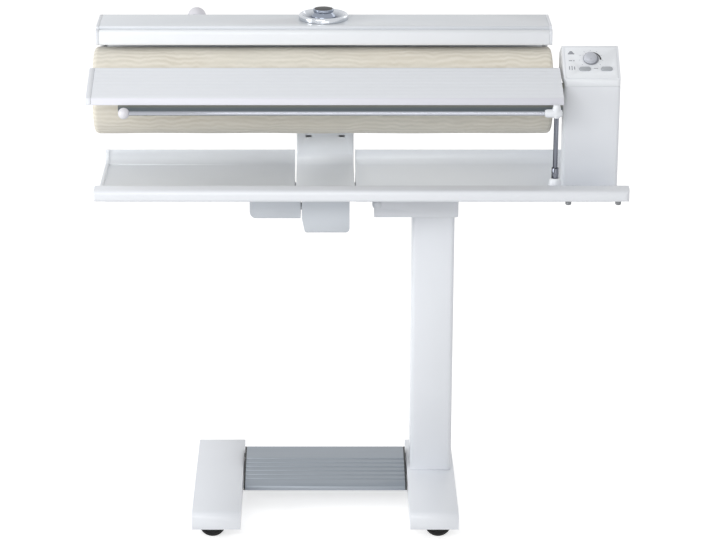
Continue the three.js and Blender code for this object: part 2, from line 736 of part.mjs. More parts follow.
part(
  "base_frame",
  joined(
    deck,
    web(BEAM_LEFT, NOTCH_WEB_LEFT + 1, BEAM_RAIL_Y),
    web(NOTCH_WEB_RIGHT - 1, BEAM_RIGHT, BEAM_RAIL_Y),
    web(BEAM_LEFT, NOTCH_WEB_LEFT + 1, BEAM_BACK - BEAM_SHEET),
    web(NOTCH_WEB_RIGHT - 1, BEAM_RIGHT, BEAM_BACK - BEAM_SHEET),
    notchWeb(NOTCH_WEB_LEFT),
    notchWeb(NOTCH_RIGHT),
    ...BEARER_X.map((x) => block(x, x + BEAM_SHEET, BEAM_RAIL_Y + 1, BEAM_BACK - 1, BEAM_BOTTOM + GAP, FLANGE_TOP)),
    foldLug(CHEEK_FRONT + CHEEK + LUG_PLAY),
    foldLug(CHEEK_BACK - CHEEK - LUG_PLAY - LUG_THICK),
  ),
  whitePaint(),
);

// The tray sheet: up behind the front rail, down a slope to the floor, and up in a curve at the back.
const SLOPE_FOOT_Y = -70;
const SLOPE_TOP_Z = TRAY_RAIL_TOP - 5;
const trayPath = [
  [TRAY_RAIL_BACK + GAP + TRAY_SHEET, SLOPE_TOP_Z],
  [SLOPE_FOOT_Y, TRAY_FLOOR, 30],
  [TRAY_BACK, TRAY_FLOOR, 18],
  [TRAY_BACK, TRAY_BACK_TOP],
];
const traySheet = sheet([...trayPath].reverse(), TRAY_SHEET);
const trayHook = prism(
  rectangle(TRAY_RAIL_BACK + GAP, TRAY_RAIL_BACK + GAP + TRAY_SHEET + 1, SLOPE_TOP_Z - 9, SLOPE_TOP_Z),
  "x",
  TRAY_LEFT,
  CONTROL_RIGHT,
);
// A raised rim along the tray's open end.
const trayRim = prism(sheet(trayPath, TRAY_SHEET), "x", TRAY_LEFT, TRAY_LEFT + TRAY_RIM);
const SOCKET_HOLE = SLEEVE_R + 2;
part(
  "tray",
  cut(
    joined(prism(traySheet, "x", TRAY_LEFT, CONTROL_RIGHT), trayHook, trayRim),
    block(NOTCH_LEFT, NOTCH_RIGHT, NOTCH_FRONT, TRAY_BACK + 10, TRAY_FLOOR - 9, TRAY_BACK_TOP + 1),
    bar("z", POST_X, POST_Y, SOCKET_HOLE + GAP, TRAY_FLOOR, TRAY_RAIL_TOP, 16),
  ),
  whitePaint(),
);

const railFront = outline([
  [TRAY_RAIL_BACK, TRAY_RAIL_BOTTOM, 2],
  [TRAY_RAIL_FRONT, TRAY_RAIL_BOTTOM, 7],
  [TRAY_RAIL_FRONT, TRAY_RAIL_TOP - 4, 9],
  [TRAY_RAIL_BACK - 6, TRAY_RAIL_TOP, 3],
  [TRAY_RAIL_BACK, TRAY_RAIL_TOP, 1],
]);
const railPlan = outline([
  [TRAY_RAIL_LEFT, TRAY_RAIL_FRONT, 2],
  [RIGHT_END, TRAY_RAIL_FRONT, 10],
  [RIGHT_END, TRAY_RAIL_BACK],
  [TRAY_RAIL_LEFT, TRAY_RAIL_BACK],
]);
part(
  "tray_rail",
  prism(railFront, "x", TRAY_RAIL_LEFT, RIGHT_END).intersect(
    prism(railPlan, "z", TRAY_RAIL_BOTTOM - 1, TRAY_RAIL_TOP + 1),
  ),
  whitePlastic(),
);

const BUFFER_R = 5.5;
const BUFFER_DROP = 8;
const BUFFER_IN = [2.5, 92.8]; // from the column's left side
const BUFFER_X = BUFFER_IN.map((x) => CONTROL_LEFT + x);
BUFFER_X.forEach((x, i) => {
  const low = TRAY_RAIL_BOTTOM - GAP - BUFFER_DROP;
  const profile = [[0, low], [BUFFER_R - 1.5, low], [BUFFER_R, low + 1.5], [BUFFER_R, low + BUFFER_DROP], [0, low + BUFFER_DROP]];
  const y = (TRAY_RAIL_FRONT + TRAY_RAIL_BACK) / 2;
  part("buffer_" + ["left", "right"][i], turned(profile, "z", x, y, 16), blackRubber());
});

// ---------------------------------------------------------------- control column

const HOUSING_FOOT = TRAY_FLOOR + GAP;
const CAP_FOOT = CONTROL_SEAM + GAP;
const MOULDING_BACK = CONTROL_FRONT + MOULDING_DEPTH;
const capSide = (inset) =>
  outline([
    [CONTROL_FRONT + inset, CAP_FOOT - (inset ? 5 : 0)],
    [CONTROL_FRONT + inset, PANEL_FOOT_Z - inset * 0.3, 6],
    [PANEL_CREST_Y, PANEL_CREST_Z - inset * 1.2, 12],
    [CAP_SHOULDER_Y - inset, CAP_SHOULDER_Z - inset * 0.6, 8],
    [CONTROL_BACK - inset, CAP_SHOULDER_Z - 15],
    [CONTROL_BACK - inset, CAP_FOOT - (inset ? 5 : 0)],
  ]);
const capPlan = rectangle(CONTROL_LEFT, CONTROL_RIGHT, CONTROL_FRONT, CONTROL_BACK, CONTROL_CORNER);
const housingPlan = (inset) => {
  const corner = CONTROL_CORNER - inset;
  return outline([
    [CONTROL_LEFT + inset, CONTROL_FRONT + inset, corner],
    [CONTROL_RIGHT - inset, CONTROL_FRONT + inset, corner],
    [CONTROL_RIGHT - inset, BODY_BACK - inset, corner],
    [BODY_LEFT + inset, BODY_BACK - inset, corner],
    [BODY_LEFT + inset, MOULDING_BACK - inset],
    [CONTROL_LEFT + inset, MOULDING_BACK - inset, 2],
  ]);
};
// The hollow is open at the top under the cap and closed by a lid behind it.
const LID_FROM = CONTROL_BACK - CONTROL_WALL - 1;
const housingHollow = joined(
  prism(housingPlan(CONTROL_WALL), "z", HOUSING_FOOT - 1, CONTROL_SEAM - CONTROL_WALL),
  prism(housingPlan(CONTROL_WALL), "z", CONTROL_SEAM - CONTROL_WALL - 1, CONTROL_SEAM + 1).intersect(
    block(CONTROL_LEFT, CONTROL_RIGHT, CONTROL_FRONT, LID_FROM, CONTROL_SEAM - 2 * CONTROL_WALL, CONTROL_SEAM + 2),
  ),
);
const shaftHole = bar("x", ROLLER_Y, ROLLER_Z, SHAFT_R + 3, BODY_LEFT - 1, BODY_LEFT + CONTROL_WALL + 1, 24);
const GLAND_X = BODY_LEFT + 20;
const GLAND_Z = HOUSING_FOOT + 49;
const GLAND_R = 8;
part(
  "control_housing",
  cut(
    prism(housingPlan(0), "z", HOUSING_FOOT, CONTROL_SEAM),
    housingHollow,
    shaftHole,
    bar("y", GLAND_X, GLAND_Z, GLAND_R + GAP, BODY_BACK - CONTROL_WALL - 1, BODY_BACK + 1, 16),
  ),
  whitePlastic(),
);

part(
  "cable_gland",
  turned(
    [
      [3.5, BODY_BACK - CONTROL_WALL - 6],
      [GLAND_R, BODY_BACK - CONTROL_WALL - 6],
      [GLAND_R, BODY_BACK + GAP],
      [GLAND_R + 3, BODY_BACK + GAP],
      [GLAND_R + 3, BODY_BACK + 3],
      [GLAND_R - 2, BODY_BACK + 12],
      [3.5, BODY_BACK + 12],
      [3.5, BODY_BACK - CONTROL_WALL - 6],
    ],
    "y",
    GLAND_X,
    GLAND_Z,
    20,
  ),
  darkPlastic(),
);

// The panel's own frame: its origin is the panel's lower front edge, y runs up the slope and z out of it.
const PANEL_RISE = PANEL_CREST_Z - PANEL_FOOT_Z;
const PANEL_RUN = PANEL_CREST_Y - CONTROL_FRONT;
const PANEL_SLOPE = Math.atan2(PANEL_RISE, PANEL_RUN);
const PANEL_LENGTH = Math.hypot(PANEL_RISE, PANEL_RUN);
const panelFrame = new THREE.Matrix4()
  .makeRotationX(PANEL_SLOPE)
  .setPosition(0, CONTROL_FRONT, PANEL_FOOT_Z);
const onPanel = (shape) => moved(shape, panelFrame);
const PANEL_SINK = 1.2;
const PANEL_START = 5;
const PANEL_STOP = PANEL_LENGTH - 7;
const panelPlan = (grow) =>
  rectangle(
    CONTROL_LEFT + PANEL_MARGIN - grow,
    CONTROL_RIGHT - PANEL_MARGIN + grow,
    PANEL_START - grow,
    PANEL_STOP + grow,
    3,
  );
const SPINDLE_R = 3;
const keyPlan = (x, grow) =>
  rectangle(
    x - KEY_LENGTH / 2 - grow,
    x + KEY_LENGTH / 2 + grow,
    KEY_ALONG - KEY_WIDTH / 2 - grow,
    KEY_ALONG + KEY_WIDTH / 2 + grow,
    KEY_WIDTH / 2 + grow - 0.05,
  );
const panelHoles = () => [
  onPanel(bar("z", KNOB_X, KNOB_ALONG, SPINDLE_R + RUNNING, -12, 8, 16)),
  ...KEY_X.map((x) => onPanel(prism(keyPlan(x, RUNNING), "z", -12, 8))),
];
const capSolid = prism(capSide(0), "x", CONTROL_LEFT, CONTROL_RIGHT).intersect(
  prism(capPlan, "z", CONTROL_SEAM, PANEL_CREST_Z + 5),
);
// A floor closes the cap where it stands out past the body's left side.
const capFloor = capSolid.intersect(
  block(
    CONTROL_LEFT,
    BODY_LEFT + CONTROL_WALL,
    MOULDING_BACK - CONTROL_WALL,
    CONTROL_BACK,
    CONTROL_SEAM,
    CAP_FOOT + CONTROL_WALL,
  ),
);
const capShell = joined(
  cut(capSolid, prism(capSide(CONTROL_WALL), "x", CONTROL_LEFT + CONTROL_WALL, CONTROL_RIGHT - CONTROL_WALL)),
  capFloor,
);
part(
  "control_cap",
  cut(capShell, onPanel(prism(panelPlan(GAP), "z", -PANEL_SINK - GAP, 6)), ...panelHoles()),
  whitePlastic(),
);
part(
  "control_panel",
  cut(onPanel(prism(panelPlan(0), "z", -PANEL_SINK, PANEL_PLATE - PANEL_SINK)), ...panelHoles()),
  whitePlastic(),
);

const PANEL_FACE = PANEL_PLATE - PANEL_SINK;
function temperatureKnob() {
  const base = PANEL_FACE + GAP;
  const body = turned(
    [
      [0, base - PANEL_PLATE - 4],
      [SPINDLE_R, base - PANEL_PLATE - 4],
      [SPINDLE_R, base],
      [KNOB_R, base],
      [KNOB_R, base + 2.5],
      [KNOB_R - 2, base + 3.5],
      [KNOB_R - 2.8, base + KNOB_HEIGHT - 2.5],
      [KNOB_R - 5, base + KNOB_HEIGHT - 0.6],
      [KNOB_R - 8, base + KNOB_HEIGHT],
      [0, base + KNOB_HEIGHT],
    ],
    "z",
    KNOB_X,
    KNOB_ALONG,
    28,
  );
  const rib = block(
    KNOB_X - 1,
    KNOB_X + 1,
    KNOB_ALONG + 3,
    KNOB_ALONG + KNOB_R - 5,
    base + KNOB_HEIGHT - 2,
    base + KNOB_HEIGHT + 0.6,
  );
  return onPanel(joined(body, rib));
}
part("temperature_knob", temperatureKnob(), greyAluminium());

const KEY_PROUD = 2.2;
KEY_X.forEach((x, i) => {
  const key = prism(keyPlan(x, 0), "z", -PANEL_SINK - 4, PANEL_FACE + KEY_PROUD);
  part("key_" + ["left", "right"][i], onPanel(key), whitePlastic());
});

// ---------------------------------------------------------------- roller and its drive

const DRUM_R = ROLLER_R - CLOTH;
const DRUM_LEFT = ROLLER_LEFT + 6;
const DRUM_RIGHT = ROLLER_RIGHT - 6;
const SHAFT_END = GEAR_X + GEAR_WIDTH + 8;
const DRUM_SIDES = 32;
part(
  "roller_drum",
  turned(
    [
      [DRUM_R / 2, DRUM_LEFT + DRUM_WALL],
      [DRUM_R / 2, DRUM_LEFT],
      [DRUM_R, DRUM_LEFT],
      [DRUM_R, DRUM_RIGHT],
      [SHAFT_R, DRUM_RIGHT],
      [SHAFT_R, SHAFT_END],
      [0, SHAFT_END],
      [0, DRUM_RIGHT - 30],
      [SHAFT_R + 4, DRUM_RIGHT - 30],
      [SHAFT_R + 4, DRUM_RIGHT - DRUM_WALL],
      [DRUM_R - DRUM_WALL, DRUM_RIGHT - DRUM_WALL],
      [DRUM_R - DRUM_WALL, DRUM_LEFT + DRUM_WALL],
      [DRUM_R / 2, DRUM_LEFT + DRUM_WALL],
    ],
    "x",
    ROLLER_Y,
    ROLLER_Z,
    DRUM_SIDES,
  ),
  steel(),
);

// The padded cover: a thick sleeve drawn in over both ends of the drum.
const CLOTH_IN = DRUM_R + GAP;
const END_ROUND = 8;
function clothEnd(tip, drumEnd, direction) {
  const points = [[CLOTH_IN, drumEnd - direction * GAP]];
  points.push([DRUM_R - 22, drumEnd - direction * GAP]);
  points.push([DRUM_R - 22, tip + direction * 2]);
  const steps = 4;
  for (let k = 0; k <= steps; k++) {
    const angle = (Math.PI / 2) * (k / steps);
    points.push([
      ROLLER_R - END_ROUND * (1 - Math.sin(angle)),
      tip + direction * END_ROUND * (1 - Math.cos(angle)),
    ]);
  }
  return points;
}
const leftEnd = clothEnd(ROLLER_LEFT, DRUM_LEFT, 1);
const rightEnd = clothEnd(ROLLER_RIGHT, DRUM_RIGHT, -1).reverse();
part(
  "roller_cover",
  turned([...leftEnd, ...rightEnd, leftEnd[0]], "x", ROLLER_Y, ROLLER_Z, 40),
  clothBeige(),
);

// A spur gear's outline about (u, v), with a tooth on the direction "toward".
function gear(teeth, u, v, toward, hub) {
  const pitch = (GEAR_MODULE * teeth) / 2;
  const tip = pitch + 0.8 * GEAR_MODULE;
  const root = pitch - 1.2 * GEAR_MODULE;
  const step = (2 * Math.PI) / teeth;
  const flanks = [[root, -0.27], [tip, -0.11], [tip, 0.11], [root, 0.27]];
  const points = [];
  for (let k = 0; k < teeth; k++) {
    for (const [r, share] of flanks) {
      const angle = toward + (k + share) * step;
      points.push(new THREE.Vector2(u + r * Math.cos(angle), v + r * Math.sin(angle)));
    }
  }
  const shape = new THREE.Shape(points);
  if (hub) shape.holes.push(new THREE.Path(circle(u, v, hub, 24).getPoints().reverse()));
  return shape;
}
const PINION_Z = ROLLER_Z - (GEAR_MODULE * (DRIVE_TEETH + PINION_TEETH)) / 2;
const DOWN = -Math.PI / 2;
part(
  "drive_gear",
  prism(gear(DRIVE_TEETH, ROLLER_Y, ROLLER_Z, DOWN, SHAFT_R + GAP), "x", GEAR_X, GEAR_X + GEAR_WIDTH),
  steel(),
);
const MOTOR_RIGHT = GEAR_X - 4;
const MOTOR_SHAFT_R = 5;
part(
  "motor_pinion",
  joined(
    prism(gear(PINION_TEETH, ROLLER_Y, PINION_Z, -DOWN + Math.PI / PINION_TEETH), "x", GEAR_X, GEAR_X + GEAR_WIDTH),
    bar("x", ROLLER_Y, PINION_Z, MOTOR_SHAFT_R, MOTOR_RIGHT - 8, GEAR_X + 1, 16),
  ),
  steel(),
);
const INNER_LEFT = BODY_LEFT + CONTROL_WALL + GAP;
part(
  "drive_motor",
  cut(
    bar("x", ROLLER_Y, PINION_Z, MOTOR_R, INNER_LEFT, MOTOR_RIGHT, 28),
    bar("x", ROLLER_Y, PINION_Z, MOTOR_SHAFT_R + RUNNING, MOTOR_RIGHT - 8.5, MOTOR_RIGHT + 1, 16),
  ),
  darkPlastic(),
);
part(
  "shaft_bearing",
  cut(
    prism(
      rectangle(
        ROLLER_Y - BEARING_SIZE / 2,
        ROLLER_Y + BEARING_SIZE / 2,
        ROLLER_Z - BEARING_SIZE / 2,
        ROLLER_Z + BEARING_SIZE / 2,
        6,
      ),
      "x",
      INNER_LEFT,
      INNER_LEFT + BEARING_DEPTH,
    ),
    bar("x", ROLLER_Y, ROLLER_Z, SHAFT_R + RUNNING, INNER_LEFT - 1, GEAR_X, 36),
  ),
  steel(),
);

// ---------------------------------------------------------------- heated shoe

// Everything that fits the roller is drawn closed on it, then swung open about the arm's pivot.
const open = new THREE.Matrix4()
  .makeTranslation(0, PRESS_PIVOT_Y, PRESS_PIVOT_Z)
  .multiply(new THREE.Matrix4().makeRotationX(-rad(PRESS_STROKE)))
  .multiply(new THREE.Matrix4().makeTranslation(0, -PRESS_PIVOT_Y, -PRESS_PIVOT_Z));
const openCentre = new THREE.Vector3(0, ROLLER_Y, ROLLER_Z).applyMatrix4(open);

const SHOE_IN = ROLLER_R + SHOE_CLEARANCE;
const SHOE_OUT = SHOE_IN + SHOE_THICKNESS;
const SHOE_RIB = 8;
const SHOE_RIBS = [10, 40, 70];
const SHOE_STEPS = 24;
const polar = (radius, degrees) =>
  new THREE.Vector2(ROLLER_Y + radius * Math.cos(rad(degrees)), ROLLER_Z + radius * Math.sin(rad(degrees)));
function shoeProfile() {
  const points = [];
  for (let k = 0; k <= SHOE_STEPS; k++) {
    points.push(polar(SHOE_IN, SHOE_FROM + ((SHOE_TO - SHOE_FROM) * k) / SHOE_STEPS));
  }
  for (let k = SHOE_STEPS; k >= 0; k--) {
    points.push(polar(SHOE_OUT, SHOE_FROM + ((SHOE_TO - SHOE_FROM) * k) / SHOE_STEPS));
  }
  return new THREE.Shape(points);
}
// Each rib on the shoe's back holds a tubular heating element.
function elementRib(degrees) {
  const half = 4.5;
  const points = [
    polar(SHOE_OUT - 2, degrees - half),
    polar(SHOE_OUT + SHOE_RIB, degrees - half * 0.7),
    polar(SHOE_OUT + SHOE_RIB, degrees + half * 0.7),
    polar(SHOE_OUT - 2, degrees + half),
  ];
  return prism(new THREE.Shape(points), "x", SHOE_LEFT + 12, SHOE_RIGHT - 12);
}
part(
  "heater_shoe",
  moved(joined(prism(shoeProfile(), "x", SHOE_LEFT, SHOE_RIGHT), ...SHOE_RIBS.map(elementRib)), open),
  paleAluminium(),
);

// ---------------------------------------------------------------- press cover, ends, guard, filler

const coverPath = [
  [COVER_FRONT, GUARD_TOP - 9],
  [COVER_FRONT, COVER_TOP, 3],
  [COVER_SHOULDER_Y, COVER_TOP, 13],
  [COVER_BACK, COVER_TOP - COVER_KNEE_DROP, 40],
  [COVER_BACK, COVER_BOTTOM],
];
const SHELL_LEFT = COVER_LEFT + COVER_END + GAP;
const SHELL_RIGHT = COVER_RIGHT - COVER_END - GAP;
const RING_HOLE_R = RING_R - 2.5;
const coverSheet = sheet([...coverPath].reverse(), COVER_SHEET);
part(
  "heater_cover",
  cut(
    prism(coverSheet, "x", SHELL_LEFT, SHELL_RIGHT),
    bar("z", RING_X, RING_Y, RING_HOLE_R + GAP, COVER_TOP - RING_R, COVER_TOP + 1, 36),
  ),
  whitePaint(),
);

// The finger guard is a rounded bar in front of the cover, on a pin at each end.
const GUARD_PIN_Y = GUARD_BACK - 6.5;
const GUARD_PIN_Z = GUARD_TOP - 8;
const GUARD_PIN_R = 2.5;
const guardOutline = [
  [GUARD_FRONT + 2, GUARD_BOTTOM, 5],
  [GUARD_BACK, GUARD_BOTTOM, 2],
  [GUARD_BACK, GUARD_TOP - 1, 2],
  [GUARD_FRONT, GUARD_TOP, 7],
];

// A moulded end closes the cover's section, carries the guard and leaves the roller's whole path clear.
const CLOTH_CLEARANCE = 3;
function coverEnd(from, to) {
  const full = outline([
    ...coverPath,
    [COVER_FRONT + 12, COVER_BOTTOM],
    [COVER_FRONT + 12, GUARD_TOP - 12],
  ]);
  const clear = (y, z) => bar("x", y, z, ROLLER_R + CLOTH_CLEARANCE, from - 1, to + 1, 48);
  const foot = block(from - 1, to + 1, 0, openCentre.y + ROLLER_R * 0.9, COVER_BOTTOM - 9, openCentre.z);
  const ear = outline([...guardOutline.slice(0, 1), [COVER_FRONT + 8, GUARD_BOTTOM], [COVER_FRONT + 8, GUARD_TOP], guardOutline[3]]);
  return cut(
    joined(prism(full, "x", from, to), prism(ear, "x", from, to)),
    bar("x", GUARD_PIN_Y, GUARD_PIN_Z, GUARD_PIN_R + RUNNING, from - 1, to + 1, 14),
    clear(ROLLER_Y, ROLLER_Z),
    clear(openCentre.y, openCentre.z),
    clear((ROLLER_Y + openCentre.y) / 2, (ROLLER_Z + openCentre.z) / 2),
    foot,
  );
}
part("cover_end_left", coverEnd(COVER_LEFT, COVER_LEFT + COVER_END), whitePlastic());
part("cover_end_right", coverEnd(COVER_RIGHT - COVER_END, COVER_RIGHT), whitePlastic());

part(
  "finger_guard",
  joined(
    prism(outline(guardOutline), "x", SHELL_LEFT, SHELL_RIGHT),
    bar("x", GUARD_PIN_Y, GUARD_PIN_Z, GUARD_PIN_R, COVER_LEFT + 1.5, COVER_RIGHT - 1.5, 14),
  ),
  whitePlastic(),
);

// The filler: a chrome dish let into the cover, with a neck that takes the cap.
const NECK_R = CAP_R - 6;
const DISH_FLOOR = COVER_TOP + RING_HEIGHT - DISH_DEPTH;
const NECK_BOTTOM = COVER_TOP - 7;
const CAP_TOP_Z = DISH_FLOOR + CAP_HEIGHT;
part(
  "filler_ring",
  turned(
    [
      [NECK_R - 2.5, NECK_BOTTOM],
      [RING_HOLE_R, NECK_BOTTOM],
      [RING_HOLE_R, COVER_TOP + GAP],
      [RING_R, COVER_TOP + GAP],
      [RING_R, COVER_TOP + RING_HEIGHT - 2],
      [RING_R - 2, COVER_TOP + RING_HEIGHT],
      [RING_R - 4.5, COVER_TOP + RING_HEIGHT - 0.8],
      [RING_R - 12, DISH_FLOOR + 1.5],
      [CAP_R + 3, DISH_FLOOR],
      [NECK_R - 2.5, DISH_FLOOR],
      [NECK_R - 2.5, NECK_BOTTOM],
    ],
    "z",
    RING_X,
    RING_Y,
    32,
  ),
  chrome(),
);
const PLUG_R = NECK_R - 2.5 - RUNNING;
part(
  "filler_cap",
  turned(
    [
      [0, DISH_FLOOR - 5],
      [PLUG_R, DISH_FLOOR - 5],
      [PLUG_R, DISH_FLOOR + GAP],
      [CAP_R, DISH_FLOOR + GAP],
      [CAP_R, DISH_FLOOR + 5],
      [CAP_R - 2, DISH_FLOOR + 8],
      [CAP_TOP_R - 1.5, CAP_TOP_Z - 6.5],
      [CAP_TOP_R, CAP_TOP_Z - 5],
      [CAP_TOP_R, CAP_TOP_Z - 1.2],
      [CAP_TOP_R - 1.2, CAP_TOP_Z],
      [0, CAP_TOP_Z],
    ],
    "z",
    RING_X,
    RING_Y,
    28,
  ),
  chrome(),
);

// ---------------------------------------------------------------- press arm

const ARM_BACK = ARM_FRONT + ARM_DEPTH;
const ARM_WALL = 4;
const ARM_TOP = COVER_BOTTOM - 3;
const ARM_KNEE_Z = TRAY_FLOOR - 9;
const tube = cut(
  prism(rectangle(ARM_LEFT, ARM_RIGHT, ARM_FRONT, ARM_BACK, 4), "z", ARM_KNEE_Z, ARM_TOP),
  block(
    ARM_LEFT + ARM_WALL,
    ARM_RIGHT - ARM_WALL,
    ARM_FRONT + ARM_WALL,
    ARM_BACK - ARM_WALL,
    TRAY_FLOOR + 8,
    ARM_TOP + 1,
  ),
);
const ARM_SLOT_RISE = 26;
const ARM_SLOT_Z = TRAY_BACK_TOP + ARM_SLOT_RISE;
const ARM_SLOT_INSET = 17;
const armSlot = (x) => prism(rectangle(x, x + 12, ARM_SLOT_Z, ARM_SLOT_Z + 4, 1.5), "y", ARM_FRONT - 1, ARM_FRONT + ARM_WALL + 1);
const ARM_SKIN = 5;
const ARM_CURVE = 18;
const armFloor = prism(
  sheet([[ARM_FRONT, TRAY_FLOOR + ARM_CURVE + 1], [ARM_FRONT, TRAY_FLOOR, ARM_CURVE], [ARM_TIP_Y, TRAY_FLOOR]], ARM_SKIN),
  "x",
  ARM_LEFT,
  ARM_RIGHT,
);
const HEEL_SIDE = 1;
const HEEL_LEFT = DRIVE_LEFT + SHEET + HEEL_SIDE;
const HEEL_RIGHT = DRIVE_RIGHT - SHEET - HEEL_SIDE;
const heel = prism(
  outline([
    [PRESS_PIVOT_Y - 15, PRESS_PIVOT_Z - 11, 10],
    [PRESS_PIVOT_Y + 12, PRESS_PIVOT_Z - 11, 10],
    [PRESS_PIVOT_Y + 12, ARM_KNEE_Z + 6],
    [PRESS_PIVOT_Y - 15, ARM_KNEE_Z + 6],
  ]),
  "x",
  HEEL_LEFT,
  HEEL_RIGHT,
);
const leverReach = PRESS_PIVOT_Y - CRANK_Y;
const CRANK_SWING = rad(CRANK_HALF_SWING);
const CRANK_R = (leverReach * Math.tan(rad(PRESS_STROKE))) / (2 * Math.sin(CRANK_SWING));
const PIN_Y = CRANK_Y - CRANK_R * Math.cos(CRANK_SWING);
const PIN_Z = CRANK_Z + CRANK_R * Math.sin(CRANK_SWING);
const lever = prism(
  outline([
    [PIN_Y - 15, TRAY_FLOOR - 2],
    [PIN_Y - 15, PIN_Z - 11, 8],
    [PIN_Y + 18, PIN_Z - 11, 8],
    [PRESS_PIVOT_Y, PRESS_PIVOT_Z - 6],
    [PRESS_PIVOT_Y, TRAY_FLOOR - 2],
  ]),
  "x",
  LEVER_X - LEVER_THICK / 2,
  LEVER_X + LEVER_THICK / 2,
);
const SLOT_PLAY = 1.1;
const SLOT_R = CRANK_PIN_R + SLOT_PLAY;
const pinSlot = prism(
  rectangle(PIN_Y - SLOT_R - 4.5, PIN_Y + SLOT_R + 4.5, PIN_Z - SLOT_R, PIN_Z + SLOT_R, SLOT_R - 0.05),
  "x",
  LEVER_X - LEVER_THICK,
  LEVER_X + LEVER_THICK,
);
// The tongue at the top of the arm runs up behind the shoe and carries it.
const TONGUE_FRONT = openCentre.y + SHOE_OUT + SHOE_RIB + GAP;
const TONGUE_BACK = COVER_BACK - COVER_SHEET - 0.5;
const TONGUE_RISE = 50;
const TONGUE_FOOT = 24;
const tongue = block(ARM_LEFT + 12, ARM_RIGHT - 12, TONGUE_FRONT, TONGUE_BACK, ARM_TOP - 3, ARM_TOP + TONGUE_RISE);
const tongueFoot = block(
  ARM_LEFT + ARM_WALL,
  ARM_RIGHT - ARM_WALL,
  TONGUE_BACK - 8,
  ARM_BACK - ARM_WALL,
  ARM_TOP - TONGUE_FOOT,
  ARM_TOP,
);
part(
  "press_arm",
  cut(
    joined(tube, armFloor, heel, lever, tongueFoot, tongue),
    armSlot(ARM_LEFT + ARM_SLOT_INSET),
    armSlot(ARM_RIGHT - ARM_SLOT_INSET - 12),
    pinSlot,
    bar("x", PRESS_PIVOT_Y, PRESS_PIVOT_Z, PRESS_PIN_R + RUNNING, HEEL_LEFT - 1, HEEL_RIGHT + 1, 20),
  ),
  whitePaint(),
);

// ---------------------------------------------------------------- press drive

const DRIVE_BACK = PRESS_PIVOT_Y + 13;
const DRIVE_HIGH = BEAM_TOP - BEAM_SHEET - GAP;
const DRIVE_LOW = BEAM_BOTTOM - GAP;
const driveSide = (inset) =>
  outline([
    [DRIVE_FRONT + inset, DRIVE_BOTTOM + inset, 4],
    [DRIVE_FLAT_TO, DRIVE_BOTTOM + inset, 16],
    [DRIVE_BACK + inset, PRESS_PIVOT_Z - 26, 8],
    [DRIVE_BACK + inset, DRIVE_LOW + (inset ? 9 : 0)],
    [NOTCH_FRONT - 4, DRIVE_LOW + (inset ? 9 : 0)],
    [NOTCH_FRONT - 4, DRIVE_HIGH + (inset ? 9 : 0)],
    [DRIVE_FRONT + inset, DRIVE_HIGH + (inset ? 9 : 0)],
  ]);
const driveFront = (inset) =>
  outline([
    [DRIVE_LEFT + 6 + inset, DRIVE_BOTTOM + inset, 6],
    [DRIVE_RIGHT - inset, DRIVE_BOTTOM + inset, 9 - inset],
    [DRIVE_RIGHT - inset, DRIVE_HIGH + 20],
    [DRIVE_LEFT + inset, DRIVE_HIGH + 20],
    [DRIVE_LEFT + inset, GEARBOX_BOTTOM],
  ]);
const drivePan = (inset) =>
  prism(driveSide(inset), "x", DRIVE_LEFT - 1, DRIVE_RIGHT + 1).intersect(
    prism(driveFront(inset), "y", DRIVE_FRONT - 1, DRIVE_BACK + 9),
  );
const CRANK_SHAFT_R = 7;
const flange = (x0, x1) => block(x0, x1, 0, BEAM_BACK - 8, DRIVE_LOW - SHEET, DRIVE_LOW);
part(
  "press_housing",
  cut(
    joined(
      cut(drivePan(0), drivePan(SHEET)),
      flange(NOTCH_WEB_LEFT - 8, DRIVE_LEFT + 1),
      flange(DRIVE_RIGHT - 1, NOTCH_WEB_RIGHT + 8),
    ),
    bar("x", PRESS_PIVOT_Y, PRESS_PIVOT_Z, PRESS_PIN_R + GAP, DRIVE_LEFT - 9, DRIVE_RIGHT + 9, 20),
    bar("x", CRANK_Y, CRANK_Z, CRANK_SHAFT_R + RUNNING, DRIVE_LEFT - 9, DRIVE_LEFT + 9, 20),
  ),
  whitePaint(),
);
part(
  "arm_pin",
  bar("x", PRESS_PIVOT_Y, PRESS_PIVOT_Z, PRESS_PIN_R, DRIVE_LEFT - 2, DRIVE_RIGHT + 2, 20),
  steel(),
);

const DISC_R = CRANK_R + CRANK_PIN_R + 2;
const DISC_RIGHT = LEVER_X - LEVER_THICK / 2 - 1;
const DISC_THICK = 8;
part(
  "press_crank",
  joined(
    bar("x", CRANK_Y, CRANK_Z, DISC_R, DISC_RIGHT - DISC_THICK, DISC_RIGHT, 28),
    bar("x", CRANK_Y, CRANK_Z, CRANK_SHAFT_R, DRIVE_LEFT - 14, DISC_RIGHT - DISC_THICK + 1, 20),
    bar("x", PIN_Y, PIN_Z, CRANK_PIN_R, DISC_RIGHT - 1, LEVER_X + LEVER_THICK / 2 + 2, 20),
  ),
  steel(),
);

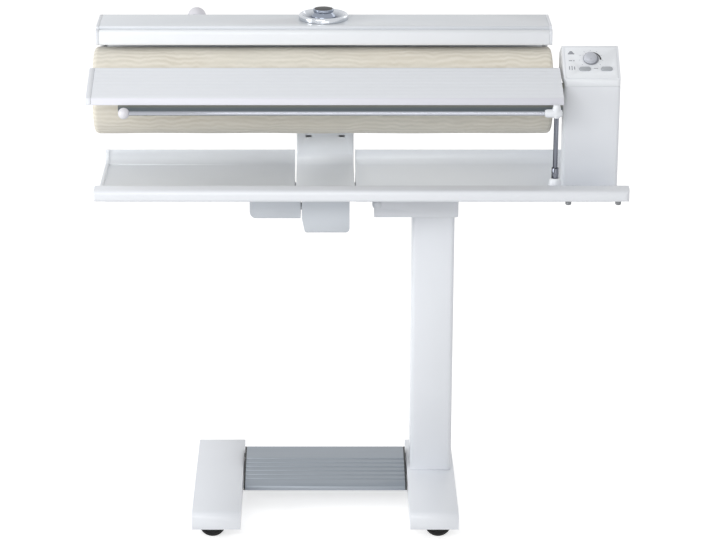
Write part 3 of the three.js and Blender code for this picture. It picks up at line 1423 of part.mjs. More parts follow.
const GEARBOX_RIGHT = DRIVE_LEFT - 2;
const GEARBOX_BACK = 60;
const gearboxSide = outline([
  [DRIVE_FRONT, GEARBOX_BOTTOM, 3],
  [GEARBOX_BACK, GEARBOX_BOTTOM, 8],
  [GEARBOX_BACK, BEAM_BOTTOM - GAP],
  [NOTCH_FRONT - 4, BEAM_BOTTOM - GAP],
  [NOTCH_FRONT - 4, DRIVE_HIGH],
  [DRIVE_FRONT, DRIVE_HIGH],
]);
const gearboxFront = outline([
  [GEARBOX_LEFT, GEARBOX_BOTTOM, 13],
  [GEARBOX_RIGHT, GEARBOX_BOTTOM, 2],
  [GEARBOX_RIGHT, DRIVE_HIGH + 1],
  [GEARBOX_LEFT, DRIVE_HIGH + 1],
]);
part(
  "press_gearbox",
  cut(
    prism(gearboxSide, "x", GEARBOX_LEFT, GEARBOX_RIGHT).intersect(
      prism(gearboxFront, "y", DRIVE_FRONT, GEARBOX_BACK),
    ),
    bar("x", CRANK_Y, CRANK_Z, CRANK_SHAFT_R + RUNNING, DRIVE_LEFT - 15, GEARBOX_RIGHT + 1, 20),
    block(NOTCH_WEB_LEFT - 9, GEARBOX_RIGHT + 1, -1, BEAM_BACK, DRIVE_LOW - SHEET - GAP, DRIVE_LOW + 1),
  ),
  whitePaint(),
);

// ---------------------------------------------------------------- feed board

// The board's top line, with fine grooves along it.
function boardTop() {
  const back = new THREE.Vector2(BOARD_BACK_Y, BOARD_BACK_Z);
  const crease = new THREE.Vector2(BOARD_CREASE_Y, BOARD_CREASE_Z);
  const points = [];
  for (let k = 0; k < BOARD_GROOVES; k++) {
    const middle = (k + 0.7) / (BOARD_GROOVES + 0.4);
    for (const [shift, sunk] of [[-0.011, 0], [-0.006, 0.7], [0.006, 0.7], [0.011, 0]]) {
      const point = back.clone().lerp(crease, middle + shift);
      points.push([point.x, point.y - sunk]);
    }
  }
  return points;
}
const boardFace = (grooved) =>
  outline([
    [BOARD_BACK_Y, BOARD_BACK_Z - 4.5, 2],
    [BOARD_BACK_Y, BOARD_BACK_Z, 2],
    ...(grooved ? boardTop() : []),
    [BOARD_CREASE_Y, BOARD_CREASE_Z, 3],
    [BOARD_CREASE_Y - 4.5, BOARD_LIP_Z, 1],
    [BOARD_CREASE_Y + 1, BOARD_LIP_Z, 1],
    [BOARD_CREASE_Y + 6, BOARD_CREASE_Z - BOARD_THICK + 1.5],
    [BOARD_BACK_Y - 24, BOARD_BACK_Z - 6 - BOARD_THICK],
  ]);
part(
  "feed_board",
  prism(boardFace(true), "x", LEFT_END + BOARD_CAP + GAP, BOARD_RIGHT),
  paleAluminium(),
);
part(
  "board_cap",
  prism(boardFace(false), "x", LEFT_END, LEFT_END + BOARD_CAP),
  whitePlastic(),
);
// The board lies on a folded channel, which an arm at its right end joins to the control column's side.
const UNDER_FRONT = new THREE.Vector2(BOARD_CREASE_Y + 6, BOARD_CREASE_Z - BOARD_THICK + 1.5);
const UNDER_BACK = new THREE.Vector2(BOARD_BACK_Y - 24, BOARD_BACK_Z - 6 - BOARD_THICK);
const underBoard = (y) =>
  UNDER_FRONT.y + ((UNDER_BACK.y - UNDER_FRONT.y) * (y - UNDER_FRONT.x)) / (UNDER_BACK.x - UNDER_FRONT.x) - 1.5 * GAP;
const BEARER_FRONT = BOARD_CREASE_Y + 1.4;
const BEARER_BACK = BEARER_FRONT + BEARER_WIDTH;
const BEARER_BOTTOM = BOARD_LIP_Z - BEARER_HEIGHT;
const bearerChannel = sheet(
  [
    [BEARER_BACK, underBoard(BEARER_BACK)],
    [UNDER_FRONT.x + 0.4, underBoard(UNDER_FRONT.x + 0.4)],
    [BEARER_FRONT, BOARD_LIP_Z - GAP],
    [BEARER_FRONT, BEARER_BOTTOM],
    [BEARER_BACK, BEARER_BOTTOM],
  ],
  SHEET,
);
const ARM_REAR = MOULDING_BACK - 16;
const armTop = (y) => underBoard(y) - 0.5;
const bearerArm = outline([
  [BEARER_BACK - 6, armTop(BEARER_BACK - 6)],
  [UNDER_BACK.x - 1, armTop(UNDER_BACK.x - 1)],
  [ARM_REAR, armTop(ARM_REAR) - 12],
  [ARM_REAR - 2, armTop(ARM_REAR) - 20, 4],
  [BEARER_BACK - 6, armTop(BEARER_BACK - 6) - 6],
]);
const tab = prism(
  outline([
    [CONTROL_FRONT + 2, armTop(CONTROL_FRONT) - 12],
    [CONTROL_FRONT + 2, armTop(CONTROL_FRONT) - 3],
    [ARM_REAR - 3, armTop(CONTROL_FRONT) - 3],
    [ARM_REAR - 3, armTop(CONTROL_FRONT) - 12],
  ]),
  "x",
  BEARER_RIGHT - 4,
  CONTROL_LEFT - GAP,
);
part(
  "board_bracket",
  joined(
    prism(bearerChannel, "x", BEARER_LEFT, BEARER_RIGHT),
    prism(bearerArm, "x", BEARER_RIGHT - BEARER_ARM, BEARER_RIGHT),
    tab,
  ),
  darkPlastic(),
);

// ---------------------------------------------------------------- front and rear hanging rails

const trayAt = (y) =>
  TRAY_FLOOR + ((SLOPE_TOP_Z - TRAY_FLOOR) * (SLOPE_FOOT_Y - y)) / (SLOPE_FOOT_Y - (TRAY_RAIL_BACK + GAP + TRAY_SHEET));
const underSlope = prism(
  outline([
    [TRAY_RAIL_FRONT, trayAt(TRAY_RAIL_FRONT) + GAP],
    [TRAY_RAIL_FRONT, TRAY_FLOOR - SOCKET_HEIGHT],
    [SLOPE_FOOT_Y, TRAY_FLOOR - SOCKET_HEIGHT],
    [SLOPE_FOOT_Y, TRAY_FLOOR + GAP],
  ]),
  "x",
  POST_X - 2 * SOCKET_R,
  POST_X + 2 * SOCKET_R,
);
const socketFlare = turned(
  [
    [0, TRAY_FLOOR],
    [SOCKET_R, TRAY_FLOOR],
    [SOCKET_R, SOCKET_TOP - 16],
    [SOCKET_R - 1.5, SOCKET_TOP - 5],
    [SLEEVE_R + 2, SOCKET_TOP],
    [0, SOCKET_TOP],
  ],
  "z",
  POST_X,
  POST_Y,
  24,
);
const SPIGOT_LENGTH = 35;
const SPIGOT_BOTTOM = SOCKET_TOP - 5 - SPIGOT_LENGTH;
part(
  "front_socket",
  cut(
    joined(
      cut(socketFlare, underSlope),
      bar("z", POST_X, POST_Y, SOCKET_HOLE, SPIGOT_BOTTOM, SOCKET_TOP - 5, 16),
    ),
    bar("z", POST_X, POST_Y, SLEEVE_R + GAP, SOCKET_TOP - 18, SOCKET_TOP + 1, 20),
  ),
  whitePlastic(),
);
part(
  "front_sleeve",
  cut(
    bar("z", POST_X, POST_Y, SLEEVE_R, SOCKET_TOP - 17.5, SLEEVE_TOP, 20),
    bar("z", POST_X, POST_Y, POST_R + RUNNING, SOCKET_TOP - 14, SLEEVE_TOP + 1, 20),
  ),
  chrome(),
);

// The front rail is a post and a rod that meet inside a moulded elbow.
const postAndRod = (foot, end, grow) =>
  joined(
    bar("z", POST_X, POST_Y, POST_R + grow, foot, ROD_Z + POST_R + grow, 14),
    bar("x", POST_Y, ROD_Z, ROD_R + grow, end, POST_X + POST_R + grow, 14),
  );
// A rod ends a third of the radius past the middle of its ball.
const rodEnd = (ballX, radius) => ballX - radius / 3 + 2 * GAP;
part("front_rod", postAndRod(SOCKET_TOP - 13, rodEnd(BALL_X, BALL_R), 0), chrome());
part(
  "front_elbow",
  cut(
    joined(
      turned(
        [
          [0, ROD_Z - 8],
          [6, ROD_Z - 8],
          [7.5, ROD_Z - 5],
          [7.5, ROD_Z + 9],
          [6, ROD_Z + 16],
          [0, ROD_Z + 16],
        ],
        "z",
        POST_X,
        POST_Y,
        20,
      ),
      turned(
        [
          [0, POST_X - 21],
          [6, POST_X - 21],
          [7.5, POST_X - 17],
          [7.5, POST_X + 4],
          [6, POST_X + 10],
          [0, POST_X + 10],
        ],
        "x",
        POST_Y,
        ROD_Z,
        20,
      ),
    ),
    postAndRod(ROD_Z - 20, POST_X - 40, GAP),
  ),
  whitePlastic(),
);

function ballKnob(x, y, z, radius, rodRadius) {
  const ball = new THREE.SphereGeometry(radius, 16, 10).rotateZ(Math.PI / 2).translate(x, y, z);
  return cut(solid(ball), bar("x", y, z, rodRadius + GAP, x - radius / 3, x + radius + 1, 16));
}
part("front_ball", ballKnob(BALL_X, POST_Y, ROD_Z, BALL_R, ROD_R), whitePlastic());

// The rear rail turns in a sleeve on the back of the press cover. It is one rod bent over at the top.
const REAR_BEND = 12;
const BEND_STEPS = 5;
const REAR_SOCKET_R = 8;
const REAR_SOCKET_TOP = REAR_ROD_Z - REAR_BEND - 1;
const REAR_SOCKET_BOTTOM = REAR_SOCKET_TOP - REAR_SLEEVE;
const coverBackAt = (z) => COVER_SHOULDER_Y + ((COVER_BACK - COVER_SHOULDER_Y) * (COVER_TOP - z)) / COVER_KNEE_DROP;
const rearSeat = (z) => [coverBackAt(z) + 1.5 * GAP, z];
const coverSide = outline([
  rearSeat(REAR_SOCKET_BOTTOM - 5),
  rearSeat(REAR_SOCKET_TOP + 5),
  [COVER_FRONT, REAR_SOCKET_TOP + 5],
  [COVER_FRONT, REAR_SOCKET_BOTTOM - 5],
]);
const rearFoot = outline([
  rearSeat(REAR_SOCKET_BOTTOM + 2),
  [REAR_ROD_Y, REAR_SOCKET_BOTTOM + 2],
  [REAR_ROD_Y, REAR_SOCKET_TOP - 2],
  rearSeat(REAR_SOCKET_TOP - 2),
]);
part(
  "rear_socket",
  cut(
    joined(
      bar("z", REAR_POST_X, REAR_ROD_Y, REAR_SOCKET_R, REAR_SOCKET_BOTTOM, REAR_SOCKET_TOP, 24),
      prism(rearFoot, "x", REAR_POST_X - 6, REAR_POST_X + 6),
    ),
    bar("z", REAR_POST_X, REAR_ROD_Y, REAR_ROD_R + RUNNING, REAR_SOCKET_BOTTOM + 3, REAR_SOCKET_TOP + 1, 20),
    prism(coverSide, "x", REAR_POST_X - 9, REAR_POST_X + 9),
  ),
  whitePlastic(),
);
function bend() {
  const x = REAR_POST_X - REAR_BEND;
  const z = REAR_ROD_Z - REAR_BEND;
  const points = Array.from({ length: BEND_STEPS + 1 }, (_, k) => {
    const angle = (Math.PI / 2) * (k / BEND_STEPS);
    return new THREE.Vector3(x + REAR_BEND * Math.cos(angle), REAR_ROD_Y, z + REAR_BEND * Math.sin(angle));
  });
  const extrudePath = new THREE.CatmullRomCurve3(points);
  return solid(
    new THREE.ExtrudeGeometry(circle(0, 0, REAR_ROD_R, 12), { steps: BEND_STEPS, extrudePath, bevelEnabled: false }),
  );
}
const BEND_LAP = 0.2;
part(
  "rear_rod",
  joined(
    bar(
      "z",
      REAR_POST_X,
      REAR_ROD_Y,
      REAR_ROD_R,
      REAR_SOCKET_BOTTOM + 3 + GAP,
      REAR_ROD_Z - REAR_BEND + BEND_LAP,
      12,
    ),
    bend(),
    bar("x", REAR_ROD_Y, REAR_ROD_Z, REAR_ROD_R, rodEnd(REAR_BALL_X, REAR_BALL_R), REAR_POST_X - REAR_BEND + BEND_LAP, 12),
  ),
  chrome(),
);
part("rear_ball", ballKnob(REAR_BALL_X, REAR_ROD_Y, REAR_ROD_Z, REAR_BALL_R, REAR_ROD_R), whitePlastic());

export default ironer;
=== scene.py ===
# %% [markdown]
# # A flatwork ironer, dressed for its portrait
#
# The solids of the machine are already made: feet, column, tray, roller, heated press and control column.
# They arrive as a fixed frame, in metres, with the floor at z = 0, the roller along x and the operator on
# the side of minus y. This notebook gives them their looks. It softens the edges of sheet and mouldings,
# rebuilds the round pieces smoothly, wraps the roller in its cloth, and paints everything with node
# materials.

import json
import math

import bmesh
import bpy
from mathutils import Matrix, Vector

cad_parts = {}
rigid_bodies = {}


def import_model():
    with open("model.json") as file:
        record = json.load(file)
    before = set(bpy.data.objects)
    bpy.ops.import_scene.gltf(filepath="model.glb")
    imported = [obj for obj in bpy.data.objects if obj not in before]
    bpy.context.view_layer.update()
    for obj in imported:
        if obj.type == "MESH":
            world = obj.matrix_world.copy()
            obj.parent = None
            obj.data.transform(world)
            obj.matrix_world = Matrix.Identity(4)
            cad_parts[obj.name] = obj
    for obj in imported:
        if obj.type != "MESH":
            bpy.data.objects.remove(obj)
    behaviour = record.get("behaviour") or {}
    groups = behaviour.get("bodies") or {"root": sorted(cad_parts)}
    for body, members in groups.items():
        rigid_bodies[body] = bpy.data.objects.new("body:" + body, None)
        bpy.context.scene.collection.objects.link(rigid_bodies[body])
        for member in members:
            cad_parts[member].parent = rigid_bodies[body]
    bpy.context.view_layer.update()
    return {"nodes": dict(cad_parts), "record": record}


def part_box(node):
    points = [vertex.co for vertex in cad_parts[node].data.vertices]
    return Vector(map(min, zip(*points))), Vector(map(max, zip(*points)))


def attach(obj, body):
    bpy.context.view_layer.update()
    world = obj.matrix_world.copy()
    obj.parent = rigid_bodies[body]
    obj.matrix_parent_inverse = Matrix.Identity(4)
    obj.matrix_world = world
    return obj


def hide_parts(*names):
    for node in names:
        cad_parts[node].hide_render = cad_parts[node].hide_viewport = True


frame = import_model()
MM = 0.001

# %% [markdown]
# ## The camera
#
# The photograph looks slightly down on the machine from far away with a long lens: the column's sides
# hardly spread, and the feet are seen a little from above. A camera could be set by eye, but the hanging
# rails, the roller and the feet lie at different depths and show every error, so a pinhole camera was
# fitted to the corners of the machine. It stands almost 5 m in front, 2.1 m up, and tips down 18.5 degrees.
# The picture's middle isn't the lens axis, so a small sideways shift stands for the crop.

# %% Place the camera
PHOTO_WIDTH = 716
FOCAL_PIXELS = 2749.6
AXIS_PIXEL_X = 320
SENSOR_WIDTH = 36.0
CAMERA_PLACE = (-0.0675, -4.939, 2.130)
TIP_DOWN = 18.5

camera_data = bpy.data.cameras.new("portrait_camera")
camera_data.sensor_fit = "HORIZONTAL"
camera_data.sensor_width = SENSOR_WIDTH
camera_data.lens = SENSOR_WIDTH * FOCAL_PIXELS / PHOTO_WIDTH
camera_data.shift_x = (PHOTO_WIDTH / 2 - AXIS_PIXEL_X) / PHOTO_WIDTH
camera_data.clip_end = 60.0
camera = bpy.data.objects.new("portrait_camera", camera_data)
camera.location = CAMERA_PLACE
camera.rotation_euler = (math.radians(90 - TIP_DOWN), 0.0, 0.0)
bpy.context.scene.collection.objects.link(camera)
bpy.context.scene.camera = camera
print("lens in mm:", round(camera_data.lens, 2), "shift:", round(camera_data.shift_x, 4))

# %% [markdown]
# ## Shader maths as plain Python
#
# A node material is a small formula. It could be drawn node by node, but it reads best as the formula
# itself. The class below wraps a socket, so that `1 - mask * 0.3` adds the Math nodes by itself. Colours
# and directions mix with their own nodes, because a Math node would turn a colour grey.

# %% A socket that can be added and multiplied
class Wire:
    """One output socket in a tree of nodes."""

    def __init__(self, tree, socket):
        self.tree = tree
        self.socket = socket

    def _math(self, operation, *values):
        return self.tree.node("ShaderNodeMath", {"operation": operation}, dict(enumerate(values)))

    def __add__(self, other):
        return self._math("ADD", self, other)

    def __radd__(self, other):
        return self._math("ADD", other, self)

    def __sub__(self, other):
        return self._math("SUBTRACT", self, other)

    def __rsub__(self, other):
        return self._math("SUBTRACT", other, self)

    def __mul__(self, other):
        return self._math("MULTIPLY", self, other)

    def __rmul__(self, other):
        return self._math("MULTIPLY", other, self)

    def root(self):
        return self._math("SQRT", self)

    def sine(self):
        return self._math("SINE", self)

    def angle_with(self, across):
        """The angle of the point (across, self) round the origin, in radians."""
        return self._math("ARCTAN2", self, across)

    def larger_of(self, other):
        return self._math("MAXIMUM", self, other)

    def step(self, low, high):
        """0 below low, 1 above high, and a straight ramp between."""
        ramp = dict(enumerate((self, low, high, 0.0, 1.0)))
        return self.tree.node("ShaderNodeMapRange", {"clamp": True}, ramp)


print("a wire can:", [name for name in vars(Wire) if not name.startswith("_")])

# %% [markdown]
# ## One way to add a node
#
# Materials, the floor and the world are all trees of nodes. Each node could be written out in four or five
# lines, but one method does for all of them: a type, its settings, which are set first because some of them
# change the sockets, and then the values or wires of its sockets. The colours of this notebook are written
# as they look on a screen, so two small functions turn them into light.

# %% A tree of nodes
class Tree:
    """The nodes of one material or of the world."""

    def __init__(self, graph):
        self.graph = graph

    def feed(self, socket, value):
        """Links a wire to a socket, or writes a plain value on it."""
        if isinstance(value, Wire):
            self.graph.links.new(value.socket, socket)
        else:
            socket.default_value = value

    def node(self, kind, settings=None, sockets=None, out=0):
        """Adds a node. Its sockets go by number or by name."""
        made = self.graph.nodes.new(kind)
        for name, setting in (settings or {}).items():
            setattr(made, name, setting)
        for key, value in (sockets or {}).items():
            self.feed(made.inputs[key], value)
        return Wire(self, made.outputs[out])


def tint(red, green, blue):
    """A screen colour from 0 to 255 as the linear light that a shader works in."""
    def linear(value):
        share = value / 255
        return share / 12.92 if share <= 0.04045 else ((share + 0.055) / 1.055) ** 2.4
    return tuple(linear(value) for value in (red, green, blue))


def shade(color, change):
    """A screen colour with every channel changed by that much, as linear light."""
    return tint(*(min(255, value + change) for value in color))


print("screen 240 is linear", round(tint(240, 240, 240)[0], 3))

# %% [markdown]
# ## One material, one builder
#
# Every finish of the machine, from powder coat to rubber, starts from the same Principled shader. Copying a
# ready material and changing it would hide what differs. The builder sets the plain numbers on the shader's
# own sockets and has short names for what most finishes need: noise, a blend of two colours, and relief.

# %% The paint builder
class Paint(Tree):
    """A material with one Principled shader."""

    def __init__(self, name, color, roughness, metallic=0.0, **shader_values):
        self.material = bpy.data.materials.new(name)
        self.material.use_nodes = True
        super().__init__(self.material.node_tree)
        self.shader = self.graph.nodes["Principled BSDF"]
        self.set("Base Color", (*color, 1.0))
        self.set("Roughness", roughness)
        self.set("Metallic", metallic)
        for socket, value in shader_values.items():
            self.set(socket.replace("_", " "), value)
        self.material.diffuse_color = (*color, 1.0)

    def set(self, socket, value):
        self.feed(self.shader.inputs[socket], value)

    def place(self):
        """Object coordinates in metres."""
        return self.node("ShaderNodeTexCoord", out="Object")

    def axes(self):
        """x, y and z of the object coordinates."""
        split = self.node("ShaderNodeSeparateXYZ", {}, {0: self.place()})
        return [Wire(self, socket) for socket in split.socket.node.outputs]

    def noise(self, size, detail=3.0, stretch=(1.0, 1.0, 1.0), roughness=0.5):
        """Noise from 0 to 1 whose blobs are about size metres across."""
        scale = tuple(value / size for value in stretch)
        ends = {0: self.place(), 1: scale}
        where = self.node("ShaderNodeVectorMath", {"operation": "MULTIPLY"}, ends)
        sockets = {"Vector": where, "Scale": 1.0, "Detail": detail, "Roughness": roughness}
        return self.node("ShaderNodeTexNoise", {}, sockets)

    def blend(self, factor, first, second):
        """A colour from first to second as factor goes from 0 to 1."""
        ends = [value if isinstance(value, Wire) else (*value, 1.0) for value in (first, second)]
        colors = {0: factor, 6: ends[0], 7: ends[1]}
        return self.node("ShaderNodeMix", {"data_type": "RGBA"}, colors, out=2)

    def bump(self, height, depth):
        """Relief of that depth in metres, from a height between 0 and 1."""
        sockets = {"Strength": 1.0, "Distance": depth, "Height": height}
        self.set("Normal", self.node("ShaderNodeBump", {}, sockets))
        return self


print("the paint builder adds:", [name for name in vars(Paint) if not name.startswith("_")])

# %% [markdown]
# ## Powder coat and white mouldings
#
# Most of the machine is white, in two finishes. Sheet steel has a powder coat: a satin film with a very
# fine orange peel. The mouldings are smoother, with a faint grain from the mould. They aren't all one
# white: the tray and the press arm are painted palest, a painted lift of light against the shade that roller
# and board cast into the tray, the cover is a little greyer, and the housings below the tray are painted
# pale grey, as painted shade from the tray above them. A painted picture could be wrapped round each piece,
# but noise in object coordinates needs no unwrapping and has no seams. All get a slow drift in tone over a
# few centimetres, because no real surface is one number all over.

# %% The whites
def powder_coat(name, color=(234, 237, 242), roughness=0.27):
    """A film with orange peel 1.6 mm across and 0.06 mm deep."""
    paint = Paint(name, tint(*color), roughness)
    drift = paint.noise(size=0.09, detail=2.0)
    peel = paint.noise(size=0.0016, detail=2.0)
    paint.set("Base Color", paint.blend(drift, shade(color, -3), shade(color, 2)))
    paint.set("Roughness", roughness + drift * 0.1)
    return paint.bump(peel, depth=0.00006).material


def moulded_white(name, color=(233, 236, 241), roughness=0.32):
    """A moulding with grain 0.7 mm across and 0.03 mm deep."""
    paint = Paint(name, tint(*color), roughness)
    drift = paint.noise(size=0.06, detail=2.0)
    grain = paint.noise(size=0.0007, detail=1.0)
    paint.set("Base Color", paint.blend(drift, shade(color, -2), shade(color, 1)))
    paint.set("Roughness", (roughness - 0.04) + drift * 0.08)
    return paint.bump(grain, depth=0.00003).material


white_coat = powder_coat("white_powder_coat")
# The grey of the housings below the tray is painted shade from the tray above them.
shaded_grey_coat = powder_coat("housing_grey_painted_shade", (205, 210, 216))
cover_coat = powder_coat("cover_powder_coat", (230, 234, 239))
# The tray's extra white is a painted lift of light against the shade of roller and board.
tray_coat_with_painted_light = powder_coat("tray_white_painted_light", (244, 248, 254), 0.32)
white_moulding = moulded_white("white_moulding")
panel_white = moulded_white("panel_white", (243, 246, 250))
ball_white = moulded_white("ball_white", (226, 225, 231), 0.3)
WHITES = (white_coat, shaded_grey_coat, cover_coat, tray_coat_with_painted_light, white_moulding, panel_white, ball_white)
print("whites and greys:", [material.name for material in WHITES])

# %% [markdown]
# ## Drawn aluminium
#
# The foot rail and the feed board are drawn profiles. The die leaves long, very fine lines along x, which
# show as streaks in tone and gloss. Modelled lines would cost thousands of faces, so noise that is
# stretched hundreds of times along x draws them. The board's lip faces the light more than its top, so it
# is painted a little darker than the top, as painted shade. The heated shoe is cast, and its milled face has
# the same kind of lines.

# %% The drawn profiles and the cast shoe
LIP_HEIGHT = 13


def drawn_aluminium(name, color, roughness, metallic, streak, lip=None):
    """Lines that change the tone by streak up and down, and a lip below a height in another colour, used for
    painted shade.
    """
    paint = Paint(name, tint(*color), roughness, metallic)
    lines = paint.noise(size=0.0011, stretch=(0.004, 1.0, 1.0))
    bands = paint.noise(size=0.012, detail=2.0, stretch=(0.03, 1.0, 1.0))
    mix = lines * 0.65 + bands * 0.35
    tone = paint.blend(mix, shade(color, -streak), shade(color, streak))
    if lip:
        painted_lip_shade, lip_top = lip
        _, _, height = paint.axes()
        # Below the lip's top the colour is painted darker, as painted shade.
        tone = paint.blend(height.step(lip_top - 1 * MM, lip_top), tint(*painted_lip_shade), tone)
    paint.set("Base Color", tone)
    paint.set("Roughness", (roughness - 0.08) + mix * 0.16)
    return paint.bump(lines, depth=0.00002).material


board_lip_shade = ((228, 229, 237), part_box("feed_board")[0].z + LIP_HEIGHT * MM)
rail_aluminium = drawn_aluminium("rail_aluminium", (152, 159, 167), 0.42, 0.55, 16)
board_aluminium = drawn_aluminium("board_aluminium", (237, 240, 245), 0.56, 0.05, 3, board_lip_shade)
shoe_aluminium = drawn_aluminium("shoe_aluminium", (190, 193, 198), 0.38, 0.8, 10)
print("the board's lip ends at z =", round(board_lip_shade[1], 4))

# %% [markdown]
# ## Chrome, steel, rubber and dark plastic
#
# Chrome is nearly a mirror, so it lives from what it reflects. One flat number for its gloss would look too
# perfect, so a trace of wiping marks goes into its roughness. Machined steel is greyer and duller. Rubber
# and the castor plastic are almost black, and are told apart only by their gloss and by a little dust.

# %% Bright and dark finishes
def bright_metal(name, color, roughness, mark):
    """Metal whose roughness wanders by mark, and whose tone by 8 steps, along wiping marks."""
    paint = Paint(name, tint(*color), roughness, 1.0)
    wipe = paint.noise(size=0.014, detail=4.0, roughness=0.7)
    paint.set("Roughness", (roughness - mark / 2) + wipe * mark)
    paint.set("Base Color", paint.blend(wipe, shade(color, -8), tint(*color)))
    return paint.material


def dark_matt(name, color, roughness, grain_size, dust):
    """Matt plastic or rubber, with patches of dust that are lighter by that many steps."""
    paint = Paint(name, tint(*color), roughness)
    grain = paint.noise(grain_size)
    film = paint.noise(size=0.02, detail=4.0)
    paint.set("Base Color", paint.blend(film.step(0.45, 0.8), tint(*color), shade(color, dust)))
    paint.set("Roughness", (roughness - 0.06) + film * 0.12)
    return paint.bump(grain, depth=0.00006).material


steel = bright_metal("machined_steel", (150, 152, 156), 0.4, 0.16)
# The cap's chrome is painted darker and bluer, a painted reflection of the dark surroundings it would
# mirror.
cap_chrome = bright_metal("cap_chrome", (152, 159, 172), 0.16, 0.06)
dark_plastic = dark_matt("dark_plastic", (34, 35, 37), 0.5, 0.0009, 14)
black_rubber = dark_matt("black_rubber", (20, 20, 21), 0.78, 0.0012, 20)
grey_rubber = dark_matt("grey_rubber", (136, 138, 141), 0.7, 0.0012, 8)
ink = dark_matt("panel_ink", (158, 161, 168), 0.6, 0.0008, 4)
silver_plastic = moulded_white("silver_plastic", (176, 180, 185), 0.34)
SMALL_FINISHES = (steel, cap_chrome, dark_plastic, black_rubber, grey_rubber, ink, silver_plastic)
print("small finishes:", [material.name for material in SMALL_FINISHES])

# %% [markdown]
# ## Two finishes that change along the piece
#
# The channel below the board is dark slate, and its paler, warmer top is a painted reflection of the cloth
# above it. The hanging rails are bright along their rods and painted darker on the upright posts, a painted
# reflection of the dark surroundings that an upright post mirrors. Each could be cut in two pieces with two
# materials. A step along one axis of the object coordinates does the same without a seam in the mesh.

# %% Channel and rods
def channel_paint():
    """Dark slate, with a paler, warmer top that is a painted reflection of the cloth above it."""
    paint = Paint("channel_grey", tint(98, 104, 106), 0.5)
    _, _, height = paint.axes()
    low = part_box("board_bracket")[0].z
    share = height.step(low + 6 * MM, low + 12 * MM)
    # The paler, warmer top is a painted reflection of the cloth above the channel.
    paint.set("Base Color", paint.blend(share, tint(88, 97, 103), tint(124, 124, 112)))
    paint.set("Roughness", 0.46 + paint.noise(size=0.02) * 0.08)
    return paint.bump(paint.noise(size=0.0011), depth=0.00005).material


def rod_paint():
    """Polished along the rods, and painted darker on the posts and sleeves at their right ends, a painted
    reflection of the dark surroundings that an upright post mirrors.
    """
    paint = Paint("rod_chrome", tint(170, 173, 181), 0.12, 1.0)
    along, _, _ = paint.axes()
    post_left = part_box("front_sleeve")[0].x
    on_post = along.step(post_left - 4 * MM, post_left)
    wipe = paint.noise(size=0.014, detail=4.0, roughness=0.7)
    # The darker colour on the posts is a painted reflection of dark surroundings.
    paint.set("Base Color", paint.blend(on_post, tint(172, 175, 183), tint(112, 115, 124)))
    paint.set("Roughness", 0.08 + wipe * 0.06)
    return paint.material


channel_grey = channel_paint()
rod_chrome = rod_paint()
print("stepped finishes:", channel_grey.name, rod_chrome.name)

# %% [markdown]
# ## Softened edges for every sheet and moulding
#
# No folded sheet or moulding has a knife edge: each edge is a tiny round that catches the light as a thin
# bright line. A bevel in the shader would show it too, but not in the outline, so the bevel is cut into the
# mesh, along every edge that is sharper than a given angle.

# %% Round an edge
def mesh_object(name, mesh):
    made = bpy.data.objects.new(name, mesh)
    bpy.context.scene.collection.objects.link(made)
    return made


def rounded_edges(piece, width, sharp, corners):
    """Cuts a bevel of that width in millimetres along each edge sharper than that angle, into the mesh."""
    bevel = piece.modifiers.new("edge", "BEVEL")
    bevel.width = width * MM
    bevel.segments = 2
    bevel.limit_method = "ANGLE"
    bevel.angle_limit = math.radians(sharp)
    bevel.harden_normals = True
    bevel.miter_outer = corners
    graph = bpy.context.evaluated_depsgraph_get()
    finished = bpy.data.meshes.new_from_object(piece.evaluated_get(graph), depsgraph=graph)
    piece.modifiers.clear()
    piece.data = finished


print("corners of the tray's solid, all sharp:", len(frame["nodes"]["tray"].data.vertices))

# %% [markdown]
# ## A soft copy of a solid
#
# The solids are made of triangles, and wherever the seam between two of them ends at an edge, it would
# disturb the round. So each solid is copied, corners that fall together are merged, and triangles that lie
# in one plane become one face, before its edges are rounded. Modelling each piece anew would risk its size;
# the copy keeps it. It then stands for the solid, on the same body.

# %% Soften a solid
CORNER_MERGE = 0.02
FLAT_WITHIN = 0.6
SHARP_FROM = 32.0


def body_of_node(node):
    for body, nodes in frame["record"]["behaviour"]["bodies"].items():
        if node in nodes:
            return body
    raise KeyError(node)


def softened(node, material, width):
    """A copy of a solid with rounded edges, width in millimetres, which then stands for it."""
    source = frame["nodes"][node]
    shape = bmesh.new()
    shape.from_mesh(source.data)
    bmesh.ops.remove_doubles(shape, verts=shape.verts, dist=CORNER_MERGE * MM)
    flat = math.radians(FLAT_WITHIN)
    bmesh.ops.dissolve_limit(shape, angle_limit=flat, verts=shape.verts, edges=shape.edges)
    for face in shape.faces:
        face.smooth = True
    mesh = bpy.data.meshes.new(node + "_soft")
    shape.to_mesh(mesh)
    shape.free()
    piece = mesh_object(node + "_soft", mesh)
    piece.matrix_world = source.matrix_world.copy()
    mesh.materials.clear()
    mesh.materials.append(material)
    rounded_edges(piece, width, SHARP_FROM, "MITER_ARC")
    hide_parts(node)
    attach(piece, body_of_node(node))


def dress(groups):
    """Softens each node of each group, and counts them."""
    for material, widths in groups:
        for node, width in widths.items():
            softened(node, material, width)
    return sum(len(widths) for _, widths in groups)


print("the tray belongs to the body:", body_of_node("tray"))

# %% [markdown]
# ## Dressing the white pieces
#
# One round for all would make the sheet look thick or the mouldings look cut. Mouldings such as the tray's
# front rail take a wider round, and the thin sheet of tray, cover and base frame half a millimetre or so.
# The feet are pressed, so their edges are the widest of the sheet pieces.

